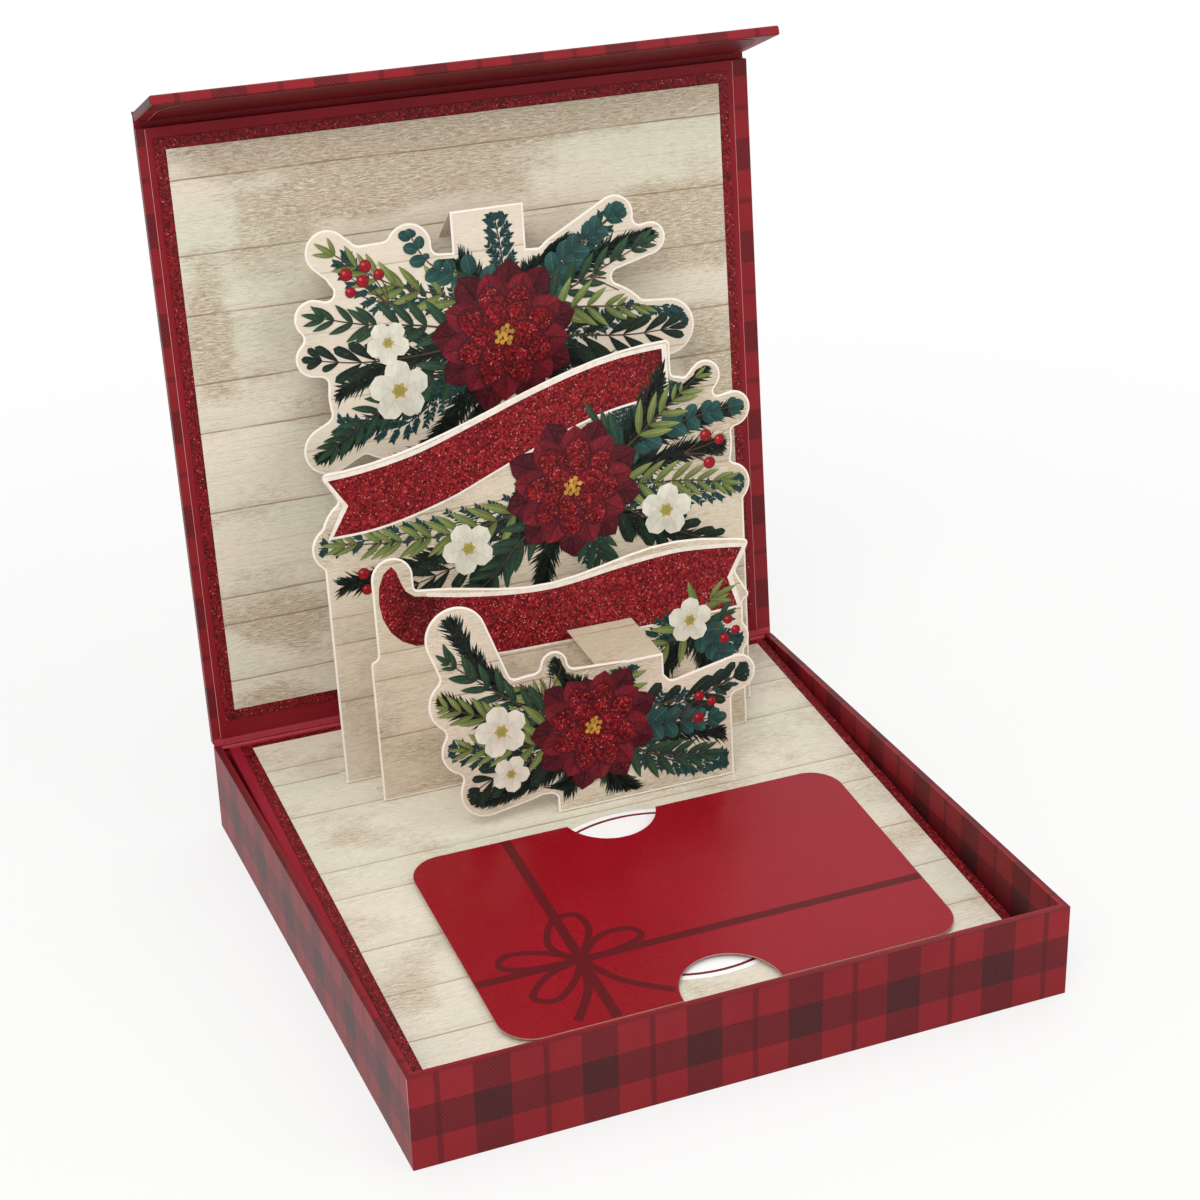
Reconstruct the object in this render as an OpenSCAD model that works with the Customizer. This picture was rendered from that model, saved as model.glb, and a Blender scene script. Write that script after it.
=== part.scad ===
// Gift card box with a hinged lid and a pop-up of four paper layers.
// Millimetres. Origin at the centre of the underside, +X to the right, +Y to the hinge, +Z up.

/* [Tray] */
// Width of the box
tray_w = 127; // [110:1:160]
// Depth of the box, front to hinge
tray_d = 127; // [120:1:160]
// Height of the tray walls
tray_h = 18.8; // [17:0.1:26]
// Clearance between the tray's rims and the closed lid
rim_gap = 0.12; // [0.1:0.01:0.2]
// Thickness of the tray's greyboard walls
wall_board_t = 1.2; // [1.1:0.1:1.8]
// Thickness of the tray's greyboard bottom
base_board_t = 1.6; // [1:0.1:2.5]
// Thickness of the printed wrapping paper
wrap_t = 0.15; // [0.1:0.05:0.3]

/* [Platform] */
// Slope of the platform, falling from the hinge to the front
platform_slope = 5.3; // [4:0.1:5.6]
// Drop of the platform's printed face below the rim at its back edge
platform_drop = 0.75; // [0.75:0.05:1.5]
// Thickness of the platform's folded red card
platform_t = 0.6; // [0.4:0.1:1]
// Gap between the platform and each side wall
platform_gap = 1; // [0.8:0.1:3]
// Gap between the platform and the front wall
platform_front_gap = 0.8; // [0.5:0.1:3]
// How far the platform and its cards sit to the right of the middle
platform_shift = 0.5; // [0:0.1:0.6]

/* [Cards] */
// Thickness of the glitter card and of the printed card
card_t = 0.2; // [0.15:0.01:0.25]
// Red margin outside the printed card, from the edge of the box
print_margin = 6; // [5.5:0.1:9]
// Width of the glitter border round the printed card
glitter_border = 2.2; // [1.5:0.1:3]
// How far the cards on the platform sit to the right of the platform's middle
print_shift = 1; // [0:0.1:1.1]

/* [Pocket] */
// Width of the gift card pocket
pocket_w = 91; // [90.4:0.1:96]
// Length of the pocket, front to back
pocket_l = 58; // [56:0.5:59]
// Corner radius of the pocket
pocket_r = 6.5; // [2:0.5:10]
// Thickness of the pocket's card
pocket_t = 0.27; // [0.2:0.01:0.3]
// Height of the slot for the gift card
slot_h = 0.85; // [0.8:0.01:0.9]
// Width of each glued strip that carries the pocket
strip_w = 1.5; // [1:0.1:1.6]
// Inset of the strips from the pocket's sides
strip_inset = 0.8; // [0.3:0.1:0.9]
// Distance from the printed card's front edge to the pocket
pocket_front = 5.4; // [4:0.1:6.2]
// How far the pocket sits to the right of the printed card's middle
pocket_shift = 3.6; // [0:0.1:6]
// Radius of the thumb notches
notch_r = 9.8; // [8:0.1:12]
// Depth of the thumb notch at the back
back_notch = 7.2; // [4:0.1:8]
// Depth of the thumb notch at the front
front_notch = 10.2; // [6:0.1:11]
// How far the notches sit to the left of the pocket's middle
notch_shift = 2.4; // [0:0.1:5]

/* [Lid] */
// Backward lean of the open lid
lid_lean = 5.6; // [3:0.1:12]
// Thickness of the greyboard in the lid and the flap
lid_board_t = 1.6; // [1.2:0.1:2]
// Height by which the lining stands proud of the wrapping paper
lining_proud = 0.1; // [0.05:0.01:0.12]
// Plaid margin left at each side of the lining
lining_margin = 2.5; // [2.4:0.1:5]
// Distance from the hinge to the printed card on the lid
lid_print_up = 7.1; // [6:0.1:10]
// How far the cards on the lid sit to the left of the middle
lid_print_shift = 0.8; // [0:0.1:0.9]

/* [Flap] */
// Angle by which the open flap is folded forward from the lid
flap_fold = 73.3; // [20:0.1:85]
// Height of the closed flap's free edge above the bottom
flap_lift = 1.7; // [0.5:0.1:4]
// Gutter between the end of the lid's board and the crease
gutter = 2.8; // [2.2:0.1:4]
// Clearance between the closed flap and the front wall
flap_clear = 0.35; // [0.3:0.05:1]
// Corner radius of the lining on the flap
flap_lining_r = 8; // [2:0.5:10]
// Radius of the closure magnets
magnet_r = 4; // [3:0.5:6]
// Distance of the magnets from the middle of the box
magnet_x = 36; // [20:1:45]
// Thickness of the magnets in the flap
flap_magnet_t = 1; // [0.8:0.1:1.1]
// Thickness of the magnets in the front wall
tray_magnet_t = 0.8; // [0.5:0.1:0.9]

/* [Pop-up layers] */
// Thickness of the pop-up layers' card
layer_t = 0.25; // [0.2:0.01:0.26]
// Backward lean of the open layers
layer_lean = 4.6; // [2:0.1:5.2]
// Depth of the glued foot behind each layer
foot_l = 5; // [3:0.5:7]
// Distance from the hinge to the foot of the back spray
back_foot = 7.5; // [7:0.1:8.5]
// Distance from the hinge to the foot of the upper banner
upper_foot = 22.6; // [20:0.1:24]
// Distance from the hinge to the foot of the lower banner
lower_foot = 31.4; // [30.5:0.1:34]
// Distance from the hinge to the foot of the front spray
front_foot = 47.9; // [44:0.1:49]
// Height of the back spray's tab
back_tab_h = 106.7; // [104:0.1:112]
// Width of the back spray's tab
back_tab_w = 15.3; // [10:0.1:22]
// Width of the upper banner's wall
upper_wall_w = 90; // [84:1:96]
// Height of the upper banner's wall
upper_wall_h = 46; // [42:1:50]
// Width of the lower banner's wall
lower_wall_w = 80; // [76:1:90]
// Height of the lower banner's wall
lower_wall_h = 30; // [26:1:34]
// Width of the front spray's wall
front_wall_w = 38.4; // [30:0.2:44]
// Height of the front spray's wall
front_wall_h = 17; // [14:0.5:20]

/* [Straps] */
// Thickness of the straps
strap_t = 0.16; // [0.12:0.01:0.18]
// Width of the hidden straps between the layers
strap_w = 24; // [12:1:30]
// Width of the strap folded over the top of the front spray
front_strap_w = 14; // [8:1:18]
// Distance from a layer's face to the middle of the strap folded to it
strap_gap = 0.2; // [0.18:0.01:0.21]
// Height of the strap between the back spray and the upper banner
upper_strap_up = 44; // [30:1:46]
// Height of the strap between the two banners
lower_strap_up = 22; // [16:1:26]
// Height of the strap between the lower banner and the front spray
front_strap_up = 28.6; // [26:0.2:29]
// Distance from the hinge to the fold of the back strap on the lid
back_strap_up = 98.5; // [92:0.5:102]

/* [Hidden] */

plaid_red = [0.55, 0.15, 0.17];
lining_red = [0.46, 0.08, 0.11];
glitter_red = [0.45, 0.05, 0.08];
wood_print = [0.84, 0.80, 0.70];
greyboard = [0.55, 0.52, 0.47];
paper_white = [0.93, 0.92, 0.88];
magnet_grey = [0.62, 0.62, 0.64];

// Walls
wall_t = wall_board_t + 2 * wrap_t;
half_w = tray_w / 2;
half_d = tray_d / 2;
in_x = half_w - wall_t;
in_y = half_d - wall_t;
base_top = wrap_t + base_board_t;
hinge_y = half_d;
hinge_z = tray_h + rim_gap;
// Clearance between pieces that are glued or folded together on different bodies
fold_gap = 0.15;

// Distance from the printed card's back edge to the hinge
card_to_hinge = 2.8;

// Platform frame, whose origin is the back edge of the printed card and whose top is that card's face
platform_back_y = hinge_y - card_to_hinge;
platform_back_z = tray_h - platform_drop;
platform_half_w = in_x - platform_gap;
card_half_w = half_w - print_margin;
glitter_half_w = card_half_w + glitter_border;
print_x = platform_shift + print_shift;
print_l = tray_d - 2 * print_margin;
glitter_back = 1.7;
top_z = -2 * card_t;
platform_back = (hinge_y - wrap_t - 0.2 - platform_back_y) / cos(platform_slope);
platform_front = (in_y + platform_back_y - platform_front_gap) / cos(platform_slope);
platform_front_y = platform_back_y - platform_front * cos(platform_slope) + 0.2;
back_board_top = platform_world_z(in_y, top_z - platform_t) - 0.05;

// Pocket, in the platform frame
pocket_x = print_x + pocket_shift;
pocket_y = -print_l + pocket_front;
strip_l = pocket_l - 2 * pocket_r;

// Lid frame, whose origin is the hinge line and whose +Z runs up the lid
lid_skin = wrap_t + lid_board_t;
crease_up = tray_d + lid_board_t + wrap_t + lining_proud + flap_clear;
lid_board_end = crease_up - gutter;
lining_half_w = half_w - lining_margin;
lid_print_l = crease_up - 2 * lid_print_up;
lid_face = -lining_proud - 2 * card_t;
// Start of the lid's lining, and gap left between the wrapping paper and the crease
lining_start = 1.1;
crease_gap = 0.4;
// Length of the back strap's glued tab
back_tab_l = 9;

// Flap frame, whose origin is the crease and whose +Z runs to the free edge
flap_len = tray_h + lid_skin - flap_lift;
flap_start = 0.6;
flap_margin = 0.6;
magnet_clear = 0.1;
magnet_z = tray_h / 2;
magnet_up = tray_h + lid_skin - magnet_z;

// Height of the fold of a layer above the printed card
fold_h = 0.27;
// Angle left between the closed lid and the rims, and between the closed layers and the platform
closed_air = 0.25;
closed_rise = platform_slope + closed_air + layer_lean - lid_lean;
// The front spray folds higher, so that it clears the pocket's back edge when it lies flat
front_fold_y = platform_back_y - hinge_y + front_foot;
front_to_pocket = -pocket_y - pocket_l - front_fold_y / cos(platform_slope);
pocket_clear = 0.2;
front_fold_h = slot_h + pocket_t + layer_t / 2 + pocket_clear - front_to_pocket * sin(closed_rise);
// Length of the front spray below its fold
front_skirt = 0.6;
// Distance from the middle of a layer's card to the middle of a strap folded to it
strap_off = layer_t / 2 + strap_gap;
foot_t = card_t;
foot_start = 0.3;
back_foot_l = foot_l - 1.6;
back_leg_w = 44;
// Middles of the pieces that stand beside the middle of the box, and the left end of the front wall
tab_x = 1.55;
banner_x = 3;
front_strap_x = 11;
front_wall_x = -6;
// Radius of the rounded inner and outer corners of a cut layer
lobe_round = 1.6;

// World height of a point of the platform frame at the depth y, dz above the printed face
function platform_world_z(y, dz = 0) =
  platform_back_z + (y - platform_back_y) * tan(platform_slope) + dz / cos(platform_slope);

// Fold line of a layer as [y, z] in the world
function foot_point(foot) =
  [hinge_y - foot, platform_world_z(hinge_y - foot, foot == front_foot ? front_fold_h : fold_h)];

// A point of a leaning sheet as [y, z], up along it and back out of it
function lean_point(origin, lean, up, back) =
  [origin[0] + up * sin(lean) + back * cos(lean), origin[1] + up * cos(lean) - back * sin(lean)];

module block(x0, x1, y0, y1, z0, z1) {
  translate([x0, y0, z0]) cube([x1 - x0, y1 - y0, z1 - z0]);
}

module on_platform() {
  translate([0, platform_back_y, platform_back_z]) rotate([platform_slope, 0, 0]) children();
}

module on_lid() {
  translate([0, hinge_y, hinge_z]) rotate([-lid_lean, 0, 0]) children();
}

module on_flap() {
  on_lid() translate([0, lid_skin, crease_up]) rotate([flap_fold, 0, 0]) children();
}

module on_layer(foot) {
  fold = foot_point(foot);
  translate([0, fold[0], fold[1]]) rotate([-layer_lean, 0, 0]) children();
}

// An upright sheet from an outline whose second axis runs up the sheet
module sheet(t) {
  rotate([90, 0, 0]) linear_extrude(t, center = true) children();
}

// A rounded bar from one end point to the other
module lobe(x1, z1, x2, z2, r) {
  translate([x1, z1]) circle(r, $fn = 40);
  translate([x2, z2]) circle(r, $fn = 40);
  translate([x1, z1]) rotate(atan2(z2 - z1, x2 - x1)) translate([0, -r])
    square([norm([x2 - x1, z2 - z1]), 2 * r]);
}

// Rounds the inner and outer corners of a cut outline
module die_cut(r = lobe_round) {
  offset(r = r, $fn = 24) offset(r = -2 * r, $fn = 24) offset(r = r, $fn = 24) children();
}

// A ribbon along part of a wave, with swallow tails cut into its ends
module ribbon(x0, x1, z, wave, turn, phase, h, tail_left, tail_right) {
  steps = 14;
  mid = function(s) z + wave * sin(turn * s + phase);
  top = [for (i = [0:steps]) let (s = i / steps) [x0 + (x1 - x0) * s, mid(s) + h / 2]];
  low = [for (i = [steps:-1:0]) let (s = i / steps) [x0 + (x1 - x0) * s, mid(s) - h / 2]];
  polygon(concat(top, [[x1 - tail_right, mid(1)]], low, [[x0 + tail_left, mid(0)]]));
}

// Tray

module base_sheet() {
  color(lining_red)
    block(-half_w + wrap_t, half_w - wrap_t, -half_d + wrap_t, half_d - wrap_t, 0, wrap_t);
}

module base_board() {
  edge_x = in_x + wrap_t;
  edge_y = in_y + wrap_t;
  color(greyboard) block(-edge_x, edge_x, -edge_y, edge_y, wrap_t, base_top);
}

module front_board() {
  color(greyboard) difference() {
    block(-half_w + wrap_t, half_w - wrap_t, -half_d + wrap_t, -in_y - wrap_t, wrap_t, tray_h - wrap_t);
    for (side = [-1, 1])
      translate([side * magnet_x, -half_d + wrap_t - 1, magnet_z]) rotate([-90, 0, 0])
        cylinder(h = 1 + tray_magnet_t, r = magnet_r + magnet_clear, $fn = 48);
  }
}

module back_board() {
  edge_x = in_x + wrap_t;
  color(greyboard) block(-edge_x, edge_x, in_y + wrap_t, half_d - wrap_t, wrap_t, back_board_top);
}

module side_board(side) {
  x0 = side > 0 ? in_x + wrap_t : -half_w + wrap_t;
  color(greyboard)
    block(x0, x0 + wall_board_t, -in_y - wrap_t, half_d - wrap_t, wrap_t, tray_h - wrap_t);
}

module tray_wrap() {
  inner_x = in_x + wrap_t;
  inner_y = in_y + wrap_t;
  color(plaid_red) difference() {
    block(-half_w, half_w, -half_d, half_d, 0, tray_h);
    difference() {
      block(-half_w + wrap_t, half_w - wrap_t, -half_d + wrap_t, half_d - wrap_t, -1, tray_h - wrap_t);
      block(-inner_x, inner_x, -inner_y, inner_y, base_top, tray_h);
    }
    block(-in_x, in_x, -in_y, in_y, -1, tray_h + 1);
    block(-inner_x, inner_x, in_y - 1, half_d - wrap_t, back_board_top, tray_h + 1);
    block(-half_w - 1, half_w + 1, half_d - wrap_t - 1, half_d + 1, tray_h - fold_gap, tray_h + 1);
  }
}

module tray_magnets() {
  color(magnet_grey) for (side = [-1, 1])
    translate([side * magnet_x, -half_d + wrap_t, magnet_z]) rotate([-90, 0, 0])
      cylinder(h = tray_magnet_t, r = magnet_r, $fn = 48);
}

// Platform

module platform_top() {
  flat_half_w = platform_half_w - platform_t;
  color(lining_red) on_platform() translate([platform_shift, 0, 0]) {
    block(-flat_half_w, flat_half_w, -platform_front, platform_back, top_z - platform_t, top_z);
    for (side = [-1, 1]) intersection() {
      translate([side * flat_half_w, -platform_front, top_z - platform_t]) rotate([-90, 0, 0])
        cylinder(h = platform_front + platform_back, r = platform_t, $fn = 48);
      block(-half_w, half_w, -tray_d, tray_d, top_z - platform_t, top_z);
    }
  }
}

// Outline of an upright piece under the platform, in the plane across the hinge
module under_platform(y0, y1) {
  low = base_top;
  polygon([
    [y0, low], [y1, low],
    [y1, platform_world_z(y1, top_z - platform_t)], [y0, platform_world_z(y0, top_z - platform_t)]
  ]);
}

// Extrudes an outline in the Y and Z directions from x0 to x1
module across(x0, x1) {
  translate([x0, 0, 0]) rotate([90, 0, 90]) linear_extrude(x1 - x0) children();
}

module platform_side(side) {
  x0 = platform_shift + (side > 0 ? platform_half_w - platform_t : -platform_half_w);
  color(lining_red) across(x0, x0 + platform_t) under_platform(platform_front_y, in_y);
}

module platform_front_side() {
  x_end = platform_half_w - platform_t;
  color(lining_red) across(platform_shift - x_end, platform_shift + x_end)
    under_platform(platform_front_y, platform_front_y + platform_t);
}

module platform_glitter_card() {
  color(glitter_red) on_platform() block(
    print_x - glitter_half_w, print_x + glitter_half_w,
    -print_l - glitter_border, glitter_back, top_z, -card_t
  );
}

module platform_print_card() {
  color(wood_print) on_platform()
    block(print_x - card_half_w, print_x + card_half_w, -print_l, 0, -card_t, 0);
}

module hinge_strip() {
  start = glitter_back + 0.15;
  color(lining_red) on_platform() block(
    platform_shift - lining_half_w, platform_shift + lining_half_w,
    start, platform_back, top_z, top_z + card_t
  );
}

// Pocket

module pocket_outline() {
  reach_x = pocket_w / 2 - pocket_r;
  difference() {
    union() {
      for (x = [-reach_x, reach_x], y = [pocket_r, pocket_l - pocket_r])
        translate([x, y]) circle(pocket_r, $fn = 48);
      translate([-reach_x, 0]) square([2 * reach_x, pocket_l]);
      translate([-pocket_w / 2, pocket_r]) square([pocket_w, pocket_l - 2 * pocket_r]);
    }
    translate([-notch_shift, front_notch - notch_r]) circle(notch_r, $fn = 64);
    translate([-notch_shift, pocket_l - back_notch + notch_r]) circle(notch_r, $fn = 64);
  }
}

module pocket_card() {
  color([0.60, 0.10, 0.15]) on_platform()
    translate([pocket_x, pocket_y, slot_h]) linear_extrude(pocket_t) pocket_outline();
}

module pocket_strip(side) {
  x0 = side > 0 ? pocket_w / 2 - strip_inset - strip_w : -pocket_w / 2 + strip_inset;
  color(paper_white) on_platform() translate([pocket_x, pocket_y, 0])
    block(x0, x0 + strip_w, pocket_r, pocket_r + strip_l, 0, slot_h);
}

// Lid

module lid_board() {
  edge = half_w - wrap_t;
  color(greyboard) on_lid() block(-edge, edge, wrap_t, lid_skin, 2 * fold_gap, lid_board_end);
}

module lid_wrap() {
  turn_in = lining_half_w + 0.1;
  color(plaid_red) on_lid() difference() {
    block(-half_w, half_w, 0, lid_skin + wrap_t, fold_gap, crease_up - crease_gap);
    block(-half_w + wrap_t, half_w - wrap_t, wrap_t, lid_skin, 2 * fold_gap, crease_up);
    block(-turn_in - lid_print_shift, turn_in - lid_print_shift, -1, wrap_t + 0.01, 1, crease_up);
    block(-half_w - 1, half_w + 1, -1, lid_skin, lid_board_end, crease_up);
  }
}

module lid_lining() {
  color(lining_red) on_lid() translate([-lid_print_shift, 0, 0])
    block(-lining_half_w, lining_half_w, -lining_proud, wrap_t, lining_start, lid_board_end);
}

module lid_glitter_card() {
  face = -lining_proud;
  color(glitter_red) on_lid() translate([-lid_print_shift, 0, 0]) block(
    -glitter_half_w, glitter_half_w, face - card_t, face,
    lid_print_up - glitter_border, lid_print_up + lid_print_l + glitter_border
  );
}

module lid_print_card() {
  face = -lining_proud - card_t;
  color(wood_print) on_lid() translate([-lid_print_shift, 0, 0])
    block(-card_half_w, card_half_w, face - card_t, face, lid_print_up, lid_print_up + lid_print_l);
}

module back_strap_tab() {
  color(paper_white) on_lid() block(
    tab_x - back_tab_w / 2, tab_x + back_tab_w / 2, lid_face - strap_t, lid_face,
    back_strap_up - back_tab_l, back_strap_up - strap_t
  );
}

// Flap

module flap_crease() {
  color(plaid_red) on_lid() translate([-half_w, lid_skin, crease_up]) rotate([0, 90, 0])
    cylinder(h = tray_w, r = 2 * wrap_t, $fn = 24);
}

module flap_board() {
  edge = half_w - wrap_t;
  color(greyboard) on_flap() difference() {
    block(-edge, edge, -lid_board_t, 0, flap_start, flap_len - wrap_t);
    for (side = [-1, 1])
      translate([side * magnet_x, -lid_board_t - 1, magnet_up]) rotate([-90, 0, 0])
        cylinder(h = 1 + flap_magnet_t, r = magnet_r + magnet_clear, $fn = 48);
  }
}

module flap_wrap() {
  inner = lining_half_w + 0.1;
  color(plaid_red) on_flap() difference() {
    block(-half_w, half_w, -lid_board_t - wrap_t, wrap_t, crease_gap, flap_len);
    block(-half_w + wrap_t, half_w - wrap_t, -lid_board_t, 0, -1, flap_len - wrap_t);
    block(-half_w - 1, half_w + 1, -lid_board_t - 1, 0, -1, flap_start);
    translate([0, -lid_board_t, 0])
      sheet(1) flap_lining_outline(inner, flap_len - flap_margin + 0.1);
  }
}

// Outline of the flap's lining, with round corners at the free edge
module flap_lining_outline(reach_x, end) {
  r = flap_lining_r;
  translate([-reach_x, -1]) square([2 * reach_x, end + 1 - r]);
  translate([-reach_x + r, -1]) square([2 * (reach_x - r), end + 1]);
  for (side = [-1, 1]) translate([side * (reach_x - r), end - r]) circle(r, $fn = 64);
}

module flap_lining() {
  start = flap_start + 0.6;
  t = wrap_t + lining_proud;
  color(lining_red) on_flap() intersection() {
    translate([0, -lid_board_t - t / 2, 0]) sheet(t)
      flap_lining_outline(lining_half_w, flap_len - flap_margin);
    block(-half_w, half_w, -lid_board_t - 1, 0, start, flap_len);
  }
}

module flap_magnets() {
  color(magnet_grey) on_flap() for (side = [-1, 1])
    translate([side * magnet_x, -lid_board_t, magnet_up]) rotate([-90, 0, 0])
      cylinder(h = flap_magnet_t, r = magnet_r, $fn = 48);
}

// Pop-up layers, with outlines in their own frame: across, and up from the fold

module back_spray_outline() {
  die_cut() {
    translate([-back_leg_w / 2, 0]) square([back_leg_w, 66]);
    lobe(-19, 73, 22, 74, 15);
    lobe(-20, 84, 14, 84, 12);
    lobe(-12, 94, 14, 92, 5);
    lobe(-24, 95, -31.5, 102, 4.4);
    lobe(-28, 98, -15, 98.4, 4.4);
    lobe(-15, 98, -15, 101, 4.6);
    lobe(-26, 86, -35.5, 89.4, 3.8);
    lobe(-26, 80, -36, 81.5, 3.8);
    lobe(-26, 67, -35, 62.6, 5);
    lobe(16, 95, 28.4, 101.6, 4.2);
    lobe(20, 92, 36, 96, 3.4);
    lobe(26, 78, 39, 77, 6);
  }
  translate([tab_x - back_tab_w / 2, 80]) square([back_tab_w, back_tab_h - 80]);
}

module upper_banner_outline() {
  reach = upper_wall_w / 2;
  top = upper_wall_h;
  translate([banner_x - reach, 0]) square([upper_wall_w, top - 4]);
  die_cut(1) {
    translate([banner_x - reach, 2]) square([upper_wall_w, top - 2]);
    ribbon(-41.5, 33, top + 20.5, 8, 180, -90, 13.4, 4, 0);
    lobe(-34, top + 6, 20, top + 8, 8);
    lobe(-36, top + 4, -39.4, top + 4, 4.8);
    lobe(10, top + 10, 30, top + 12, 16);
    lobe(34, top + 20, 40.4, top + 26.4, 3.4);
    lobe(36, top + 17, 46.4, top + 18.6, 3.8);
    lobe(34, top + 6, 45, top + 2.6, 4.6);
  }
}

module lower_banner_outline() {
  reach = lower_wall_w / 2;
  top = lower_wall_h;
  translate([banner_x - reach, 0]) square([lower_wall_w, top - 6]);
  die_cut(1) {
    translate([banner_x - reach, 2]) square([lower_wall_w, top - 2]);
    ribbon(-31, 45.2, top + 4.8, 1.9, 480, 78, 13, 0, 3.6);
    lobe(-31.2, top, -31.2, top + 16.4, 4.2);
    lobe(-28, top + 8, -22, top + 6, 5);
    lobe(37, 22, 40, 19.6, 4.2);
  }
}

module front_spray_outline() {
  right = front_wall_x + front_wall_w;
  translate([front_wall_x, -front_skirt]) square([front_wall_w, front_wall_h - 4 + front_skirt]);
  die_cut() {
    translate([front_wall_x, 2]) square([front_wall_w, front_wall_h - 2]);
    lobe(-10, 17, 8, 16, 13);
    lobe(-20, 28, -24.4, 40.6, 6.2);
    lobe(-18, 20, -25.2, 27, 5.8);
    lobe(-16, 14, -24, 17, 5.2);
    lobe(-12, 9, -20.4, 7.6, 5.6);
    lobe(-6, 25, -5, 31, 2.8);
    lobe(16, 18, right + 1.6, 21.4, 3.9);
  }
  translate([front_strap_x - front_strap_w / 2, 20])
    square([front_strap_w, front_strap_up + strap_t - 20]);
}

module popup_layer(foot) {
  color(wood_print) on_layer(foot) sheet(layer_t) children();
}

// The front spray's free part stops just above the printed card
module front_spray() {
  color(wood_print) on_layer(front_foot) sheet(layer_t) difference() {
    front_spray_outline();
    translate([front_wall_x - 40, -10]) square([40, 11]);
  }
}

// The glued foot behind the fold of a layer
module layer_foot(foot, x_mid, w, length = foot_l) {
  start = (hinge_y - foot - platform_back_y) / cos(platform_slope) + foot_start;
  color(wood_print) on_platform()
    block(x_mid - w / 2, x_mid + w / 2, start, start + length, 0, foot_t);
}

// Straps

// A strap from the back of the front layer to the front of the rear layer, at the height up
module layer_strap(front, rear, up, x_mid, w) {
  p = lean_point(foot_point(front), layer_lean, up, strap_off);
  q = lean_point(foot_point(rear), layer_lean, up, -strap_off);
  color(paper_white) translate([x_mid, p[0], p[1]]) rotate([atan2(q[1] - p[1], q[0] - p[0]), 0, 0])
    block(-w / 2, w / 2, 0, norm(q - p), -strap_t / 2, strap_t / 2);
}

module back_strap() {
  p = lean_point(foot_point(back_foot), layer_lean, back_tab_h - strap_t, strap_off);
  q = lean_point([hinge_y, hinge_z], lid_lean, back_strap_up, lid_face - strap_gap);
  color(paper_white) translate([tab_x, p[0], p[1]]) rotate([atan2(q[1] - p[1], q[0] - p[0]), 0, 0])
    block(-back_tab_w / 2, back_tab_w / 2, 0, norm(q - p), -strap_t / 2, strap_t / 2);
}

base_sheet();
base_board();
front_board();
back_board();
side_board(-1);  // left_board
side_board(1);  // right_board
tray_wrap();
tray_magnets();
platform_top();
platform_side(-1);  // platform_left_side
platform_side(1);  // platform_right_side
platform_front_side();
platform_glitter_card();
platform_print_card();
hinge_strip();
pocket_card();
pocket_strip(-1);  // pocket_left_strip
pocket_strip(1);  // pocket_right_strip
layer_foot(back_foot, 0, back_leg_w, back_foot_l);  // back_spray_foot
layer_foot(upper_foot, banner_x, upper_wall_w);  // upper_banner_foot
layer_foot(lower_foot, banner_x, lower_wall_w);  // lower_banner_foot
layer_foot(front_foot, front_wall_x + front_wall_w / 2, front_wall_w);  // front_spray_foot
lid_board();
lid_wrap();
lid_lining();
lid_glitter_card();
lid_print_card();
back_strap_tab();
flap_crease();
flap_board();
flap_wrap();
flap_lining();
flap_magnets();
popup_layer(back_foot) back_spray_outline();  // back_spray
popup_layer(upper_foot) upper_banner_outline();  // upper_banner
popup_layer(lower_foot) lower_banner_outline();  // lower_banner
front_spray();
back_strap();
layer_strap(upper_foot, back_foot, upper_strap_up, 0, strap_w);  // upper_strap
layer_strap(lower_foot, upper_foot, lower_strap_up, 0, strap_w);  // lower_strap
layer_strap(front_foot, lower_foot, front_strap_up, front_strap_x, front_strap_w);  // front_strap
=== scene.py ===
import math
import random

import bpy
from mathutils import Matrix, Vector


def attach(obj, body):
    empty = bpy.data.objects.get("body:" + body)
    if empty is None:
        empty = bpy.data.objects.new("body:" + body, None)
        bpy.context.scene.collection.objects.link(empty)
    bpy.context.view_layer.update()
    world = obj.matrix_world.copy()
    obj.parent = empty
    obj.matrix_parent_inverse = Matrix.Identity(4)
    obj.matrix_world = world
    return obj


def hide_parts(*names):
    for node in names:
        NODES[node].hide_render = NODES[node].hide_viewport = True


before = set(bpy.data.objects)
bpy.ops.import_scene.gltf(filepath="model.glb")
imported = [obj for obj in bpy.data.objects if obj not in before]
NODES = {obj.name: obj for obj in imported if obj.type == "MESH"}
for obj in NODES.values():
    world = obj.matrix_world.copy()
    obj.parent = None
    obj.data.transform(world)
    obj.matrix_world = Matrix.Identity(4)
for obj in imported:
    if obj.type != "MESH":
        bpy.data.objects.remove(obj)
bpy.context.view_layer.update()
SCENE = bpy.context.scene
MM = 0.001


# Sizes in millimetres, and the frames of the pieces. A piece's face lies along its own X and Z.

HALF = 63.5  # half of the tray's width and depth
WALL_TOP = 18.8
WALL = 1.5
BOARD = 1.75  # the lid's and the flap's greyboard
PAPER = 0.15  # the wrapping paper
SLAB = BOARD + PAPER
CREASE = 129.2  # from the hinge up the lid to the flap's crease
CREASE_RADIUS = 0.3
HALF_CARD = 0.125  # half of a layer's thickness
LAYER_LEAN = -4.6


def turned(origin, degrees):
    return Matrix.Translation(Vector(origin)) @ Matrix.Rotation(math.radians(degrees), 4, "X")


PLATFORM = turned((0, 60.7, 18.05), 5.3)
PLATFORM_UP = tuple(PLATFORM.to_3x3() @ Vector((0, 0, 1)))
LID = turned((0, HALF, 18.92), -5.6)
FLAP = LID @ turned((0, BOARD, CREASE), 73.3)
LAYERS = {
    "back_spray": turned((0, 56.0, 17.885), LAYER_LEAN),
    "upper_banner": turned((0, 40.9, 16.484), LAYER_LEAN),
    "lower_banner": turned((0, 32.1, 15.668), LAYER_LEAN),
    "front_spray": turned((0, 15.6, 14.815), LAYER_LEAN),
}
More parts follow.
